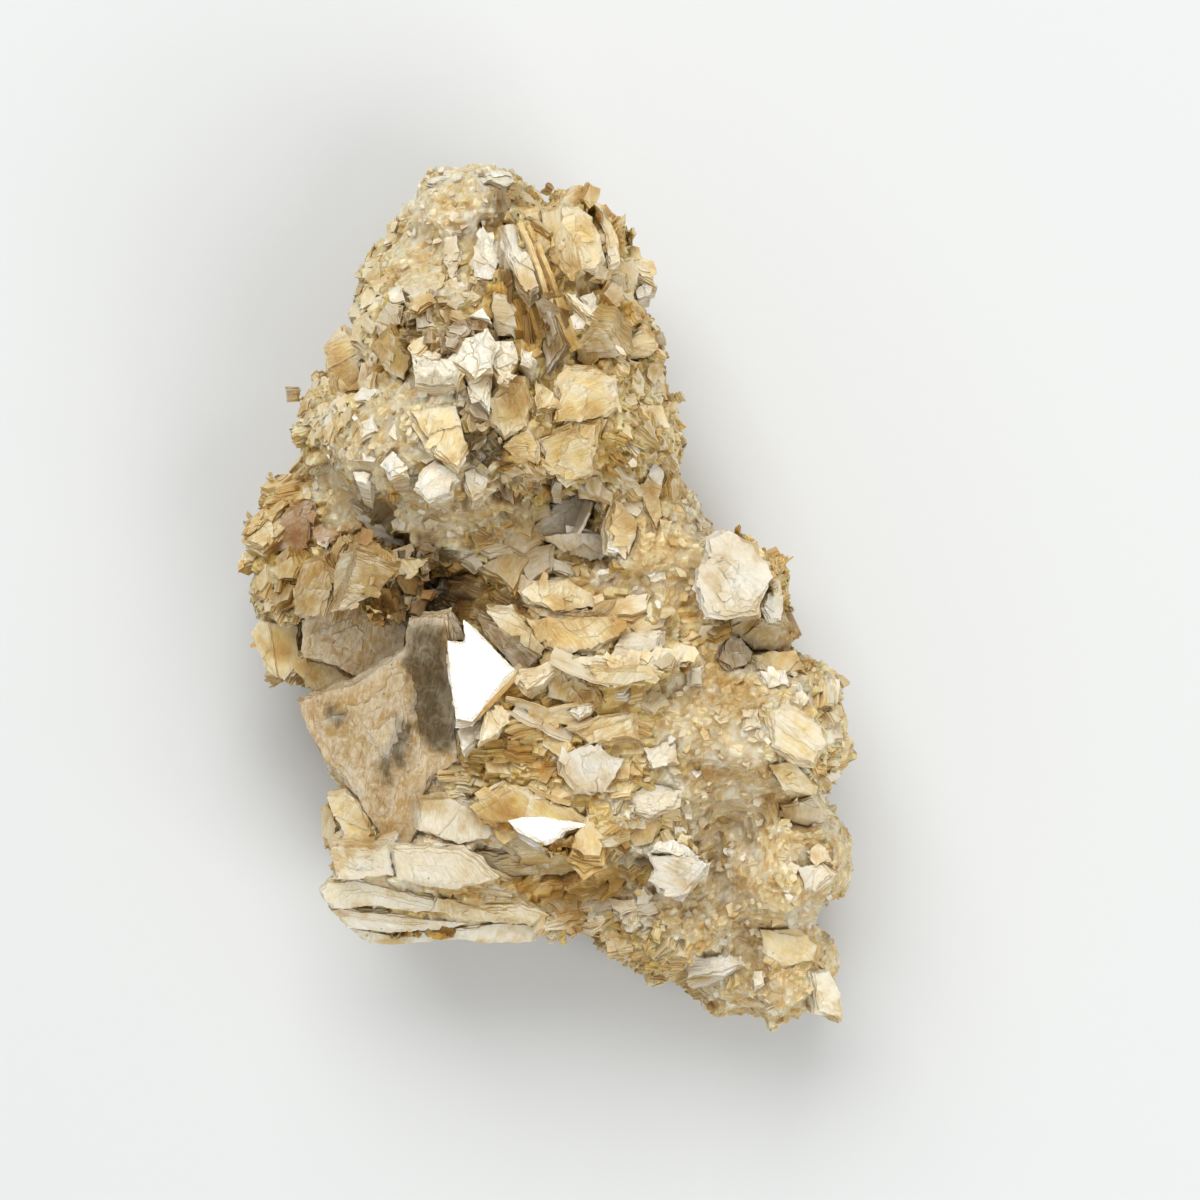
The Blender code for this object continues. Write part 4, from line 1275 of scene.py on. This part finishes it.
    shader.inputs["Subsurface Weight"].default_value = glow
    shader.inputs["Subsurface Radius"].default_value = (1.0, 0.66, 0.30)
    shader.inputs["Subsurface Scale"].default_value = depth * MM
    shader.inputs["Transmission Weight"].default_value = clear
    shader.inputs["IOR"].default_value = 1.58
    green = add("ShaderNodeSeparateColor", {0: tint}).outputs[1]
    glossy = sums("MULTIPLY", ramp(green, 0.10, 0.60, 0.06, 0.5), ramp(shade_and_dirt, 0.1, 0.6, 1.0, 0.2))
    link(glossy, "Coat Weight")
    shader.inputs["Specular Tint"].default_value = (1.0, 0.88, 0.66, 1.0)
    shader.inputs["Coat IOR"].default_value = 2.0
    shader.inputs["Coat Roughness"].default_value = 0.15
    return material


def floor_material():
    material, shader, add, link = node_maker("pale_floor")
    mix, _, _ = mixer(add)
    spots = add("ShaderNodeTexNoise", {"Scale": 3.0, "Detail": 2.0}).outputs[0]
    link(mix(spots, (0.665, 0.68, 0.675, 1), (0.685, 0.695, 0.69, 1)), "Base Color")
    shader.inputs["Roughness"].default_value = 0.9
    return material


# ================================================================ the stage
def add_floor():
    data = bpy.data.meshes.new("floor")
    mesh = bmesh.new()
    bmesh.ops.create_grid(mesh, x_segments=1, y_segments=1, size=2.0)
    mesh.to_mesh(data)
    mesh.free()
    floor = link_piece(data, "floor")
    data.materials.append(floor_material())


def add_area(name, place, size, power):
    lamp = bpy.data.lights.new(name, "AREA")
    lamp.shape = "RECTANGLE"
    lamp.size, lamp.size_y = size
    lamp.energy = power
    light = bpy.data.objects.new(name, lamp)
    light.location = Vector(place)
    light.rotation_euler = (LIT_PLACE - Vector(place)).to_track_quat("-Z", "Y").to_euler()
    bpy.context.scene.collection.objects.link(light)


def add_camera():
    data = bpy.data.cameras.new("camera")
    data.sensor_width = SENSOR
    data.lens = SENSOR * CAMERA_DISTANCE / (FRAME_PIXELS * MM_PER_PIXEL)
    data.clip_start = 0.01
    camera = bpy.data.objects.new("camera", data)
    camera.location = EYE * MM
    bpy.context.scene.collection.objects.link(camera)
    bpy.context.scene.camera = camera


def add_studio():
    scene = bpy.context.scene
    scene.view_settings.view_transform = "Standard"
    world = bpy.data.worlds.new("studio")
    world.use_nodes = True
    world.node_tree.nodes["Background"].inputs["Color"].default_value = (1.0, 1.0, 1.0, 1)
    world.node_tree.nodes["Background"].inputs["Strength"].default_value = WORLD_STRENGTH
    scene.world = world
    add_area("key", KEY_PLACE, KEY_SIZE, KEY_POWER)
    add_area("fill", FILL_PLACE, FILL_SIZE, FILL_POWER)


LIT_PLACE = Vector((0.0, 0.0, 0.03))
KEY_PLACE = (-0.25, 1.05, 1.25)
KEY_SIZE = (1.3, 1.1)
KEY_POWER = 22.5
FILL_PLACE = (0.7, -0.6, 1.0)
FILL_SIZE = (0.8, 0.8)
FILL_POWER = 8.0
WORLD_STRENGTH = 0.48


# ================================================================ the build
def dress_ground(ground, cells, cell, tree):
    """Gives the groundmass the same attributes as the plates, book by book."""
    mesh = ground.data
    points, normals = points_of(mesh), normals_of(mesh)
    clear = openness(tree, points, [Vector(normal) for normal in normals])
    tints = np.array([shaded(kind, 0.05) for kind in cells.kinds])
    tints[cells.sugary] = tints[cells.sugary] * 0.5 + np.array(SUGAR_TINT) * 0.5
    # Painted shade with a little grime: darker where less of the sky is open, half as much on the sugar.
    shade_and_dirt = np.clip(0.85 - clear, 0, 1) * np.where(cells.sugary[cell], 0.5, 1.0)
    across = [basis(axis, rng.uniform(0, math.tau)) for axis in cells.axes]
    away = points - np.array(cells.middles)[cell]
    frames = [np.array(side)[cell] for side in ([pair[0] for pair in across], [pair[1] for pair in across], cells.axes)]
    grain = np.stack([(away * side).sum(1) for side in frames], axis=1) + draw.uniform(-50, 50, (len(tints), 3))[cell]
    put_attributes(mesh, {
        "tint": np.concatenate([np.clip(tints[cell], 0, 0.95), np.ones((len(points), 1))], axis=1),
        "c_axis": np.array(cells.axes)[cell],
        "grain": grain * MM,
        "look": np.stack([np.full(len(points), 0.06), np.full(len(points), 0.5), shade_and_dirt], axis=1),
        "fray": np.full(len(points), 0.45),
    })
    mesh.polygons.foreach_set("use_smooth", [True] * len(mesh.polygons))
    mesh.set_sharp_from_angle(angle=math.radians(GROUND_SHARP_ANGLE))


def main():
    leafy = mica_material("golden_mica", 0.15, 0.5, 0.1, 0.4)
    massive = mica_material("golden_mica_mass", 0.6, 3.0, 0.0, 0.9)
    ground = cad_copy()
    smooth_tree = tree_of(ground.data)
    sheets = [Sheet(smooth_tree, *row) for row in SHEETS]
    carve(ground.data, sheets)
    sit_down(ground.data)
    carved_tree = tree_of(ground.data)
    cells = Cells(ground.data)
    cell = terrace(ground.data, cells)
    carve(ground.data, sheets)
    dress_ground(ground, cells, cell, carved_tree)

    hero = Plates()
    for sheet in sheets:
        add_sheet(hero, sheet)
        if sheet.kind not in ("mirror", "frost") and not sheet.name.startswith("foot"):
            add_scales(hero, sheet)
    for row in BLADES:
        add_blade(hero, smooth_tree, *row)

    books = [Plates() for _ in range(BOOK_GROUPS)]
    flakes = [Plates() for _ in range(FLAKE_GROUPS)]
    add_books(cells, smooth_tree, carved_tree, sheets, books)
    add_flakes(ground.data, smooth_tree, carved_tree, sheets, flakes)

    pieces = [ground, hero.make("sheets")]
    pieces += [group.make(f"books_{number + 1}") for number, group in enumerate(books)]
    pieces += [group.make(f"flakes_{number + 1}") for number, group in enumerate(flakes)]
    for piece in pieces:
        piece.data.materials.clear()
        piece.data.materials.append(massive if piece is ground else leafy)
        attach(piece, "root")
        print("PIECE", piece.name, sum(len(face.vertices) - 2 for face in piece.data.polygons))
    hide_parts(NODE)
    add_floor()
    add_camera()
    add_studio()


BOOK_GROUPS = 4
FLAKE_GROUPS = 2
LIMITS = (tuple(low / MM + BOX_MARGIN for low in CAD_BOX[0][:2]) + (0.0,),
          tuple(high / MM - BOX_MARGIN for high in CAD_BOX[1]))

main()
